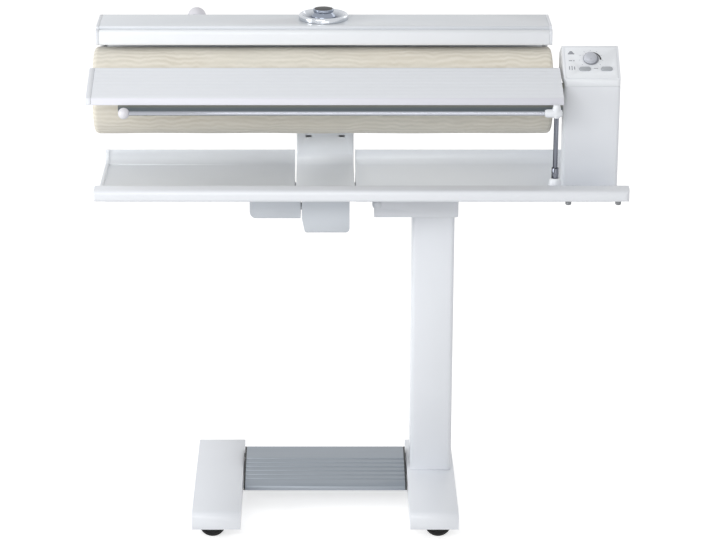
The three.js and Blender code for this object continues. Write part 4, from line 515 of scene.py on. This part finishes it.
# %% White sheet and white mouldings
WHITE_PIECES = (
    (white_coat, {
        "foot_left": 1.2, "foot_right": 1.2, "cross_tube": 0.6, "column": 0.8, "head_bracket": 0.6,
        "base_frame": 0.4,
    }),
    # Tray and arm take the palest white, a painted lift of light against the shade in the tray.
    (tray_coat_with_painted_light, {"tray": 0.5, "press_arm": 0.8}),
    (cover_coat, {"heater_cover": 0.6}),
    # These housings take the grey coat, which is painted shade from the tray above them.
    (shaded_grey_coat, {"press_housing": 0.6, "press_gearbox": 1.0}),
    # The finger guard takes the brighter panel white as a painted lift of light against the shade on its
    # right end.
    (panel_white, {"control_cap": 0.9, "control_panel": 0.4, "finger_guard": 0.8}),
    (white_moulding, {
        "tray_rail": 1.0, "control_housing": 0.7, "cover_end_left": 0.7, "cover_end_right": 0.7,
        "board_cap": 0.8, "front_socket": 0.6, "front_elbow": 0.7, "rear_socket": 0.6,
    }),
)
print("white pieces:", dress(WHITE_PIECES))

# %% [markdown]
# ## Metal, dark and small pieces
#
# The same softening serves the drawn profiles, the castor forks, the shafts and gears. They could all stay
# as they are, but a shaft with a razor edge looks like a drawing. Gear teeth and bores get only a breath of
# a bevel, or they would close up.

# %% The other solids
CASTORS = ("front_left", "front_right", "back_left", "back_right")
OTHER_PIECES = (
    (rail_aluminium, {"foot_rail": 0.35}),
    (dark_plastic, {"rail_cap_left": 0.5, "rail_cap_right": 0.5}),
    (board_aluminium, {"feed_board": 0.3}),
    (shoe_aluminium, {"heater_shoe": 0.6}),
    (white_coat, {"fold_bolt": 0.3}),
    (steel, {
        "fold_release": 0.5, "arm_pin": 0.4, "press_crank": 0.4, "drive_gear": 0.15, "motor_pinion": 0.15,
        "shaft_bearing": 0.6, "roller_drum": 0.4,
    }),
    (dark_plastic, {"drive_motor": 0.8, "cable_gland": 0.4}),
    (channel_grey, {"board_bracket": 0.5}),
    (rod_chrome, {"front_sleeve": 0.3, "front_rod": 0.3, "rear_rod": 0.3}),
    (grey_rubber, {"buffer_left": 0.4, "buffer_right": 0.4}),
    (silver_plastic, {"key_left": 0.5, "key_right": 0.5}),
    (dark_plastic, {"castor_" + place: 0.4 for place in CASTORS}),
)
print("other pieces:", dress(OTHER_PIECES))

# %% [markdown]
# ## Shallow grooves in the feed board
#
# The linen slides over a board with fine grooves along it. In soft light they should be hints rather than
# dark lines. A new board could be modelled, but it is enough to move the bottom corners of its grooves up,
# square to the slope, until less than half their depth is left.

# %% Draw the grooves up
BOARD_SLOPE = math.radians(16.1)
GROOVE_SHARE = 0.45
GROOVE_LIMIT = 2.0


def shallow_grooves(board):
    """Keeps a share of the depth of all corners that lie less than the limit below the sloping top."""
    out = Vector((0, -math.sin(BOARD_SLOPE), math.cos(BOARD_SLOPE)))
    top = max(out.dot(vertex.co) for vertex in board.data.vertices)
    moved = 0
    for vertex in board.data.vertices:
        depth = top - out.dot(vertex.co)
        if CORNER_MERGE * MM < depth < GROOVE_LIMIT * MM:
            vertex.co += out * (depth * (1 - GROOVE_SHARE))
            moved += 1
    return moved


print("groove corners drawn up:", shallow_grooves(bpy.data.objects["feed_board_soft"]))

# %% [markdown]
# ## Turned pieces
#
# Knobs, wheels, the filler and the balls are turned shapes. A cylinder with modifiers could come close, but
# a lathe is simpler: a half profile is spun about its axis with many steps, so that the outline is a true
# curve in close views, and each groove and roll of the profile is one row of numbers.

# %% Spin a profile
TURNED_EDGE = 0.35
TURNED_SHARP = 28


def spun(name, profile, origin, axis, material, body, steps, replaces=()):
    """Turns a profile of (radius, height) in millimetres about an axis through origin, in metres."""
    shape = bmesh.new()
    rings = []
    for radius, height in profile:
        if radius < 1e-6:
            rings.append([shape.verts.new((0, 0, height * MM))])
            continue
        ring = []
        for step in range(steps):
            angle = 2 * math.pi * step / steps
            across, back = radius * MM * math.cos(angle), radius * MM * math.sin(angle)
            ring.append(shape.verts.new((across, back, height * MM)))
        rings.append(ring)
    for lower, upper in zip(rings, rings[1:]):
        for step in range(steps):
            after = (step + 1) % steps
            a, b = lower[step % len(lower)], lower[after % len(lower)]
            c, d = upper[after % len(upper)], upper[step % len(upper)]
            corners = list(dict.fromkeys((a, b, c, d)))
            if len(corners) > 2:
                shape.faces.new(corners)
    bmesh.ops.recalc_face_normals(shape, faces=shape.faces)
    for face in shape.faces:
        face.smooth = True
    mesh = bpy.data.meshes.new(name)
    shape.to_mesh(mesh)
    shape.free()
    mesh.materials.append(material)
    piece = mesh_object(name, mesh)
    turn = Vector((0, 0, 1)).rotation_difference(Vector(axis))
    piece.matrix_world = Matrix.Translation(Vector(origin)) @ turn.to_matrix().to_4x4()
    rounded_edges(piece, TURNED_EDGE, TURNED_SHARP, "MITER_SHARP")
    if replaces:
        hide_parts(*replaces)
    if body:
        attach(piece, body)
    return piece


def middle(node):
    low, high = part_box(node)
    return (low + high) / 2


print("filler ring is at", [round(v, 4) for v in middle("filler_ring")])

# %% [markdown]
# ## The filler
#
# In the middle of the cover sits a chrome dish for the water. Its rim is a soft roll and its bowl is
# shallow. Chrome shows every facet, so the dish is spun with many steps. The bowl is painted darker, a
# painted reflection of the dark surroundings that its chrome mirrors down there. A painted ring would do
# it, but the distance to the dish's axis gives the same and follows the shape.

# %% The dish
NECK_R = 14.9
BOWL_DEPTH = 8.9
BOWL_R = 26.6


def dish_chrome():
    """Bright on the rolled rim and painted darker down in the bowl, a painted reflection of the dark
    surroundings there.
    """
    paint = Paint("dish_chrome", tint(205, 209, 214), 0.14, 1.0)
    across, back, _ = paint.axes()
    radius = (across * across + back * back).root()
    wipe = paint.noise(size=0.012, detail=4.0, roughness=0.7)
    on_rim = (radius + wipe * (6 * MM)).step(30 * MM, 43 * MM)
    # The dark bowl colour is a painted reflection, and the bright rim is the chrome's own.
    paint.set("Base Color", paint.blend(on_rim, tint(96, 104, 118), tint(206, 210, 216)))
    paint.set("Roughness", 0.1 + wipe * 0.08)
    return paint.material


ring_low, ring_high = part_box("filler_ring")
ring_x, ring_y, _ = middle("filler_ring")
ring_r = (ring_high.x - ring_low.x) / 2 / MM
ring_top = ring_high.z / MM
neck_low = ring_low.z / MM
dish_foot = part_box("heater_cover")[1].z / MM + 0.3
bowl = ring_top - BOWL_DEPTH
dish = [
    (NECK_R, neck_low), (ring_r - 2.6, neck_low), (ring_r - 2.6, dish_foot), (ring_r, dish_foot),
    (ring_r, ring_top - 4), (ring_r - 0.5, ring_top - 2), (ring_r - 1.6, ring_top - 0.6),
    (ring_r - 3, ring_top), (ring_r - 4.6, ring_top - 0.5), (ring_r - 7, ring_top - 3),
    (ring_r - 10, ring_top - 5.8), (ring_r - 13, ring_top - 7.6), (ring_r - 17, ring_top - 8.6),
    (BOWL_R, bowl), (NECK_R, bowl), (NECK_R, neck_low),
]
spun("filler_dish", dish, (ring_x, ring_y, 0), (0, 0, 1), dish_chrome(), "press", 96, ("filler_ring",))
print("dish radius in mm:", round(ring_r, 1), "top:", round(ring_top, 1))

# %% [markdown]
# ## The filler's cap
#
# The cap stands in the bowl and steps up in two tiers, with a groove below the upper one for the fingers.
# Its top has a dark grip disc. The disc could be a patch of another colour on the cap, but it is a moulding
# of its own that is pressed in, and as a piece of its own it catches light on its edge. It rides with the
# cap.

# %% The cap and its grip
STEM_R = 14.2
GRIP_R = 16.8
cap_low, cap_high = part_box("filler_cap")
cap_x, cap_y, _ = middle("filler_cap")
cap_r = (cap_high.x - cap_low.x) / 2 / MM
cap_top = cap_high.z / MM
cap = [
    (0, cap_low.z / MM), (STEM_R, cap_low.z / MM), (STEM_R, bowl + 0.4), (cap_r - 0.5, bowl + 0.4),
    (cap_r, bowl + 1), (cap_r, bowl + 4.6), (cap_r - 0.6, bowl + 6), (cap_r - 2, bowl + 7.6),
    (18.6, cap_top - 7.4), (17.9, cap_top - 6.4), (18.3, cap_top - 5.6), (19.4, cap_top - 5.1),
    (19.4, cap_top - 1.2), (18.8, cap_top - 0.4), (17.4, cap_top - 0.1), (17.2, cap_top - 0.6),
    (0, cap_top - 0.6),
]
spun("filler_cap_turned", cap, (cap_x, cap_y, 0), (0, 0, 1), cap_chrome, "filler_cap", 96, ("filler_cap",))
grip = [
    (0, cap_top - 0.55), (GRIP_R, cap_top - 0.55), (GRIP_R, cap_top - 0.15), (GRIP_R - 0.6, cap_top),
    (0, cap_top),
]
filler_grip = spun("filler_grip", grip, (cap_x, cap_y, 0), (0, 0, 1), dark_plastic, "filler_cap", 72)
print("cap radius in mm:", round(cap_r, 1), "top:", round(cap_top, 1))

# %% [markdown]
# ## Balls at the rails' ends
#
# The hanging rails end in white balls, so that no linen catches on them. A ready-made sphere has no hole
# for its rod, so the balls are spun too, with the bore in their profile.

# %% Ball ends
BALL_STEPS = 28


def ball(node, body, radius, bore):
    """A ball at the left end of a rod, with the rod's blind hole in its right side."""
    low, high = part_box(node)
    centre = ((low.x / MM + radius) * MM, (low.y + high.y) / 2, (low.z + high.z) / 2)
    mouth = math.sqrt(radius**2 - bore**2)
    profile = [(0, -radius)]
    for step in range(1, BALL_STEPS):
        angle = math.pi * step / BALL_STEPS
        if radius * math.sin(angle) > bore + 0.4 or step < BALL_STEPS / 2:
            profile.append((radius * math.sin(angle), -radius * math.cos(angle)))
    profile += [(bore + 0.2, mouth - 0.1), (bore, mouth - 0.5), (bore, -radius / 3), (0, -radius / 3)]
    return spun(node + "_round", profile, centre, (1, 0, 0), ball_white, body, 56, (node,))


balls = (
    ball("front_ball", "front_rail", radius=10.3, bore=4.1),
    ball("rear_ball", "rear_rail", radius=17.5, bore=3.3),
)
print("ball widths in mm:", [round(piece.dimensions.y / MM, 1) for piece in balls])

# %% [markdown]
# ## Castor wheels
#
# Each castor rolls on twin wheels with a rounded tread and a sunken disc. Two cylinders on an axle would
# show flat faces there. One profile from the axle's left end to its right end makes both wheels in a single
# turn. The first half is written down, and the second half is its mirror image.

# %% Spin the wheels
HALF_WHEEL = [
    (3, -4.6), (25, -4.6), (25, -10), (24.6, -11.4), (23.6, -12.5), (22, -13), (19.2, -13), (18.6, -12.4),
    (18.2, -11.6), (8, -11.5), (7, -12.2), (5, -12.6), (0, -12.6),
]
twin_wheels = HALF_WHEEL[::-1] + [(radius, -height) for radius, height in HALF_WHEEL]
for place in CASTORS:
    node = "castor_wheels_" + place
    wheels = "wheels_" + place
    spun(wheels, twin_wheels, middle(node), (0, 1, 0), black_rubber, wheels, 48, (node,))
print("wheel profile points:", len(twin_wheels))

# %% [markdown]
# ## The roller's cloth
#
# A cotton cloth is wound over springy padding and drawn in at both ends with a cord. Its weave is about a
# millimetre wide, and a wavy grain of pale lines runs lengthwise over it. A photographed cloth would repeat
# round the roller and end in a seam. Here the angle round the roller, pushed about by noise, goes through a
# sine, which gives lines that close all the way round, and more noise lets them fade in and out.

# %% Cloth paint
GRAIN_LINES = 42
GRAIN_WANDER = 10.0
GRAIN_DRIFT = 14.0


def roller_cloth_paint():
    """The sleeve's own axes are used: its z runs along the roller, and x and y lie across it."""
    paint = Paint("roller_cloth", tint(224, 219, 206), 0.9, Sheen_Weight=0.25, Sheen_Roughness=0.6)
    up, side, _ = paint.axes()
    angle = up.angle_with(0.0 - side)
    shades = paint.noise(size=0.12, stretch=(1.0, 1.0, 0.35))
    wander = paint.noise(size=0.03, detail=2.0, stretch=(0.6, 0.6, 1.0))
    drift = paint.noise(size=0.11, detail=1.0, stretch=(1.0, 1.0, 0.8))
    fading = paint.noise(size=0.05, detail=2.0, stretch=(1.0, 1.0, 0.5)).step(0.35, 0.65)
    lines = (angle * GRAIN_LINES + wander * GRAIN_WANDER + drift * GRAIN_DRIFT).sine()
    grain = lines * (0.2 + fading * 0.3) + 0.5
    rough = paint.noise(size=0.008, stretch=(1.0, 1.0, 0.25))
    ground = paint.blend(shades.step(0.3, 0.7), tint(216, 207, 188), tint(217, 214, 201))
    pale = tint(243, 238, 226)
    paint.set("Base Color", paint.blend((grain * 0.45 + rough * 0.55).step(0.1, 0.9), ground, pale))
    weave = paint.noise(size=0.0011, detail=2.0)
    return paint.bump(grain * 0.12 + rough * 0.5 + weave * 0.3, depth=0.0008).material


cloth_paint = roller_cloth_paint()
print("nodes in the cloth's paint:", len(cloth_paint.node_tree.nodes))

# %% [markdown]
# ## The section of the padded sleeve
#
# Cloth and padding lie tight round the drum, so a cloth simulation would find the same plain sleeve. It is
# spun from its section instead: a straight back, rounds at both ends, and faces that are drawn in to a hole
# at the drum's end.

# %% The sleeve's section
CLOTH_ROUND = 9.0
CLOTH_SEAT = 5.7
END_HOLE_R = 50.5
ROUND_STEPS = 8
LENGTH_STEPS = 60


def cloth_profile(left, right, outer, bore):
    """The sleeve's section from its left end to its right end, closed through the bore."""
    turn = [step / ROUND_STEPS * math.pi / 2 for step in range(ROUND_STEPS + 1)]
    start = [
        (outer - CLOTH_ROUND * (1 - math.sin(angle)), left + CLOTH_ROUND * (1 - math.cos(angle)))
        for angle in turn
    ]
    close = [(radius, left + right - x) for radius, x in reversed(start)]
    straight = right - left - 2 * CLOTH_ROUND
    back = [
        (outer, left + CLOTH_ROUND + straight * step / LENGTH_STEPS) for step in range(1, LENGTH_STEPS)
    ]
    loop = [
        (bore, left + CLOTH_SEAT), (END_HOLE_R, left + CLOTH_SEAT), (END_HOLE_R, left + 2.6),
        (END_HOLE_R + 6, left + 1.2), (outer - 16, left + 0.4),
    ]
    mirror = [(radius, left + right - x) for radius, x in reversed(loop)]
    return loop + start + back + close + mirror + [loop[0]]


print("points of a section 850 mm long:", len(cloth_profile(0, 850, 80, 70)))

# %% [markdown]
# ## Winding the cloth on
#
# Cloth under tension shows long shallow pulls that cross each other, and gathers where the cord draws it
# in. Relief in the paint alone would leave the outline ruler straight. So both are moved into the mesh
# itself, mostly inwards and nowhere more than a quarter of a millimetre over the solid's size.

# %% The padded sleeve
PULL_DEPTH = 0.35
GATHERS = 26
GATHER_DEPTH = 0.5
GATHER_REACH = 26


def roller_cloth():
    low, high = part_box("roller_cover")
    left, right = low.x / MM, high.x / MM
    axis_y, axis_z = (low.y + high.y) / 2, (low.z + high.z) / 2
    outer = (high.z - low.z) / 2 / MM
    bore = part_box("roller_drum")[1].z / MM - axis_z / MM + 0.3
    profile = cloth_profile(left, right, outer, bore)
    piece = spun(
        "roller_cloth", profile, (0, axis_y, axis_z), (1, 0, 0), cloth_paint, "roller", 96, ("roller_cover",)
    )
    for vertex in piece.data.vertices:
        x, y, z = vertex.co
        radius = math.hypot(x, y)
        if radius < (bore + 1) * MM:
            continue
        angle = math.atan2(y, x)
        pull = math.sin(3 * angle + 21 * z) * math.sin(11 * z + angle)  # long waves that cross
        pull += 0.6 * math.sin(7 * angle - 34 * z)
        near_end = max(0.0, 1 - min(z / MM - left, right - z / MM) / GATHER_REACH)
        gather = min(0.0, math.sin(GATHERS * angle) * near_end)
        scale = 1 + (PULL_DEPTH * pull - PULL_DEPTH + GATHER_DEPTH * gather) * MM / radius
        vertex.co.x, vertex.co.y = x * scale, y * scale
    return piece


print("corners of the sleeve:", len(roller_cloth().data.vertices))

# %% [markdown]
# ## The control panel
#
# The panel slopes towards the operator on top of the control column. Its dial and marks could be placed in
# the room's axes, with sines and cosines for each of them. It is easier to give the panel a frame of its
# own: x along it, y up its slope, z out of it. One matrix then carries everything to its place.

# %% The panel's frame
PANEL_FOOT = 11.5
PANEL_RISE = 49.2
PANEL_DEPTH = 72.0
PANEL_FACE = 0.8
cap_corner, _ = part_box("control_cap")
panel_slope = math.atan2(PANEL_RISE, PANEL_DEPTH)
PANEL = (
    Matrix.Translation((0.0, cap_corner.y, cap_corner.z + PANEL_FOOT * MM))
    @ Matrix.Rotation(panel_slope, 4, "X")
)


def on_panel(piece, body):
    piece.matrix_world = PANEL @ piece.matrix_world
    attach(piece, body)


def flat_mark(name, outline, centre, low, thick, material):
    """A thin plate with that outline in millimetres, its underside at height low on the panel."""
    shape = bmesh.new()
    ring = [shape.verts.new((centre[0] + x * MM, centre[1] + y * MM, low * MM)) for x, y in outline]
    face = shape.faces.new(ring)
    raised = bmesh.ops.extrude_face_region(shape, geom=[face])["geom"]
    tops = [part for part in raised if isinstance(part, bmesh.types.BMVert)]
    bmesh.ops.translate(shape, verts=tops, vec=(0, 0, thick * MM))
    bmesh.ops.recalc_face_normals(shape, faces=shape.faces)
    mesh = bpy.data.meshes.new(name)
    shape.to_mesh(mesh)
    shape.free()
    mesh.materials.append(material)
    return mesh_object(name, mesh)


print("panel slope in degrees:", round(math.degrees(panel_slope), 1))

# %% [markdown]
# ## The dial
#
# The temperature dial is a silver dome, set a little off the middle of its grey skirt, so that a crescent
# of the skirt shows, a painted shadow of the dome on the panel. It could be carved from the solid knob, but
# two spun pieces keep the line between the two colours sharp. A thin pointer lies on the dome, and all
# three turn with the knob.

# %% The dial
DIAL_X, DIAL_UP = 432.0, 51.5
DIAL_LIFT = 0.3
# The dome's shift shows a crescent of grey skirt as a painted shadow of the dome.
SHADOW_CRESCENT_SHIFT = 1.4
SKIRT = [(0, -6), (3, -6), (3, 0), (14.6, 0), (14.6, 2.2), (13.4, 3.2), (0, 3.2)]
DOME_FOOT = [(0, 3.1), (12.6, 3.1), (12.4, 5.5)]
POINTER = [(-0.5, -4), (0.5, -4), (0.5, -9.5), (-0.5, -9.5)]
dial_silver = moulded_white("dial_silver", (196, 199, 207), 0.26)
dial_skirt_grey_and_shadow = moulded_white("dial_skirt_grey_and_shadow", (138, 141, 148), 0.34)


def dial():
    low = PANEL_FACE + DIAL_LIFT
    quarter = [math.pi / 2 * step / 8 for step in range(9)]
    crown = [(4 + 7.9 * math.cos(angle), 6.5 + 5.8 * math.sin(angle)) for angle in quarter]
    skirt = [(radius, low + height) for radius, height in SKIRT]
    dome = [(radius, low + height) for radius, height in DOME_FOOT + crown + [(0, 12.5)]]
    centre = (DIAL_X * MM, DIAL_UP * MM, 0)
    # Shifted so that a crescent of the grey skirt shows as a painted shadow of the dome.
    shifted = ((DIAL_X - SHADOW_CRESCENT_SHIFT) * MM, (DIAL_UP - SHADOW_CRESCENT_SHIFT) * MM, 0)
    out_of_panel = (0, 0, 1)
    under = spun("dial_skirt", skirt, centre, out_of_panel, dial_skirt_grey_and_shadow, None, 64)
    over = spun("dial_dome", dome, shifted, out_of_panel, dial_silver, None, 64)
    pointer = flat_mark("dial_pointer", POINTER, shifted, low + 10.4, 1.4, ink)
    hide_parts("temperature_knob")
    for piece, finish in ((under, "grey_plastic"), (over, None), (pointer, "dark_plastic")):
        on_panel(piece, "knob")
    return over


print("dome width in mm:", round(dial().dimensions.x / MM, 1))

# %% [markdown]
# ## Heat scale, ticks and signs
#
# Round the dial lie plain ticks and the heat scale, an arc that thickens clockwise. At the left stand three
# signs without words, and one more lies between the keys. On the machine they are printed. A decal would
# need a picture and blur in close views, so they are plates a tenth of a millimetre thick, whose edges stay
# sharp.

# %% Heat scale, ticks and signs
SCALE_FROM, SCALE_SWEEP, SCALE_STEPS = 125, 130, 26
SCALE_INNER, SCALE_OUTER, SCALE_GROWTH = 16.2, 17.0, 2.4
TICKS, TICK_FROM, TICK_PITCH = 9, -40, 32.5
TICK_NEAR, TICK_FAR, TICK_HALF = 20.4, 22.2, 0.45
MARK_SUNK, MARK_THICK = 0.05, 0.12


def mark(name, outline, x, up, material=ink):
    low = PANEL_FACE - MARK_SUNK
    piece = flat_mark(name, outline, (x * MM, up * MM), low, MARK_THICK, material)
    on_panel(piece, "top")


def heat_scale():
    """An arc over the dial that thickens clockwise."""
    steps = range(SCALE_STEPS + 1)
    turns = [math.radians(SCALE_FROM - SCALE_SWEEP * step / SCALE_STEPS) for step in steps]
    outer_radii = [SCALE_OUTER + SCALE_GROWTH * step / SCALE_STEPS for step in steps]
    inner = [(SCALE_INNER * math.cos(turn), SCALE_INNER * math.sin(turn)) for turn in turns]
    outer = [(far * math.cos(turn), far * math.sin(turn)) for far, turn in zip(outer_radii, turns)]
    mark("heat_scale", inner + outer[::-1], DIAL_X, DIAL_UP, dark_plastic)


def tick(index):
    angle = math.radians(TICK_FROM + index * TICK_PITCH)
    across = Vector((-math.sin(angle), math.cos(angle))) * TICK_HALF
    near, far = (Vector((math.cos(angle), math.sin(angle))) * radius for radius in (TICK_NEAR, TICK_FAR))
    corners = [near - across, far - across, far + across, near + across]
    mark(f"tick_{index}", [tuple(corner) for corner in corners], DIAL_X, DIAL_UP)


def bar(left, low, right, high):
    return [(left, low), (right, low), (right, high), (left, high)]


# Each sign has a name, an outline, and its place along and up the panel, in millimetres.
SIGNS = (
    ("peak", [(-6, -4), (6, -4), (6, -2.6), (1.6, 4), (-1.6, 4), (-6, -2.6)], 396, 67),
    ("dash", bar(-5, -1, 1.5, 1), 396, 47.5),
    ("dot", bar(3.4, -1.4, 5.4, 1.4), 396, 47.5),
    ("bar_0", bar(-0.9, -4.2, 0.9, 4.2), 391.5, 29.5),
    ("bar_1", bar(-0.9, -5.2, 0.9, 5.2), 396.1, 29.5),
    ("bar_2", bar(-0.9, -3.6, 0.9, 3.6), 400.7, 29.5),
    ("between_keys", bar(-4, -0.7, 4, 0.7), 440, 28.5),
)
heat_scale()
for index in range(TICKS):
    tick(index)
for name, outline, x, up in SIGNS:
    mark("sign_" + name, outline, x, up)
print("marks on the panel:", 1 + TICKS + len(SIGNS))

# %% [markdown]
# ## The floor
#
# The photograph is cut out on white. A brighter lamp would burn out the machine before the floor is white,
# and a glowing floor would swallow its shadow. So the floor is matt and takes the shadow, and a lift that
# only the camera and reflections see brings it to white.

# %% A white floor that keeps the shadow
WHITE = (1, 1, 1, 1)
FLOOR_COLOR = (0.8, 0.8, 0.8, 1)
FLOOR_LIFT = 0.62
FLOOR_HALF = 6.0
FLOOR_DROP = 0.5


def background_ray(tree):
    """1 for a ray from the camera, or one that a shiny or clear surface sends on, and 0 for the rest."""
    rays = ("Is Camera Ray", "Is Glossy Ray", "Is Transmission Ray")
    from_camera, from_gloss, from_glass = (tree.node("ShaderNodeLightPath", out=ray) for ray in rays)
    return from_camera.larger_of(from_gloss).larger_of(from_glass)


def floor_paint():
    """A matt floor that takes shadows, lifted to white where it is seen in full light."""
    material = bpy.data.materials.new("studio_white")
    material.use_nodes = True
    parts = material.node_tree.nodes
    parts.remove(parts["Principled BSDF"])
    tree = Tree(material.node_tree)
    matt = tree.node("ShaderNodeBsdfDiffuse", {}, {"Color": FLOOR_COLOR})
    strength = background_ray(tree) * FLOOR_LIFT
    lift = tree.node("ShaderNodeEmission", {}, {"Color": WHITE, "Strength": strength})
    both = tree.node("ShaderNodeAddShader", {}, {0: matt, 1: lift})
    tree.feed(parts["Material Output"].inputs["Surface"], both)
    return material


floor_mesh = bpy.data.meshes.new("studio_floor")
floor_shape = bmesh.new()
bmesh.ops.create_grid(floor_shape, x_segments=1, y_segments=1, size=FLOOR_HALF)
floor_shape.to_mesh(floor_mesh)
floor_shape.free()
floor_mesh.materials.append(floor_paint())
studio_floor = mesh_object("studio_floor", floor_mesh)
studio_floor.location.z = -FLOOR_DROP * MM
print("floor width in m:", studio_floor.dimensions.x, "lift:", FLOOR_LIFT)

# %% [markdown]
# ## The world
#
# The world is the white room round the machine. At full strength it would light every side alike and wash
# out the forms, and at the strength that suits the machine it would look grey behind it. The same ray trick
# gives both: it is white where it is seen or mirrored, and softer where it lights the machine.

# %% The room's light
WORLD_LEVEL = 0.57
world = bpy.data.worlds.new("studio")
bpy.context.scene.world = world
world.use_nodes = True
world_tree = Tree(world.node_tree)
background = world.node_tree.nodes["Background"]
seen = background_ray(world_tree)
levels = {"Value": seen, "To Min": WORLD_LEVEL, "To Max": 1.0}
level = world_tree.node("ShaderNodeMapRange", {}, levels)
world_tree.feed(background.inputs["Color"], WHITE)
world_tree.feed(background.inputs["Strength"], level)
print("world level on the object:", WORLD_LEVEL)

# %% [markdown]
# ## The lamps
#
# Four large soft lamps light the machine. A wide band from the front and above gives the white fronts their
# brightness and lets the tops fall off a little. The strongest stands far to the left, so that the left
# ends and the feet are bright and the right sides of column and tray fall behind. Two weak ones lift the
# fronts low down and the right side from behind. Small lamps would draw hard shadows, which the photograph
# doesn't have.

# %% Key and fill
def soft_lamp(name, place, aim, size, power):
    data = bpy.data.lights.new(name, "AREA")
    data.shape = "RECTANGLE"
    data.size, data.size_y = size
    data.energy = power
    lamp = bpy.data.objects.new(name, data)
    lamp.location = place
    lamp.rotation_euler = (Vector(aim) - Vector(place)).to_track_quat("-Z", "Y").to_euler()
    bpy.context.scene.collection.objects.link(lamp)


soft_lamp("front_band", place=(-1.0, -3.4, 2.2), aim=(0, 0, 0.7), size=(2.6, 0.6), power=38)
soft_lamp("side_left", place=(-4.2, -1.3, 1.5), aim=(0, 0, 0.7), size=(1.6, 1.6), power=70)
soft_lamp("front_low", place=(0.5, -3.8, 0.6), aim=(0.1, 0, 0.5), size=(2.4, 0.8), power=5)
soft_lamp("right_fill", place=(2.6, 2.2, 2.0), aim=(0, 0, 0.6), size=(1.6, 1.6), power=8)
bpy.context.scene.view_settings.view_transform = "Standard"
print("lamps:", [lamp.name for lamp in bpy.data.lights])

# %% [markdown]
# ## Close the scene
#
# A dressed machine that has grown or shrunk would no longer fit its own solids.
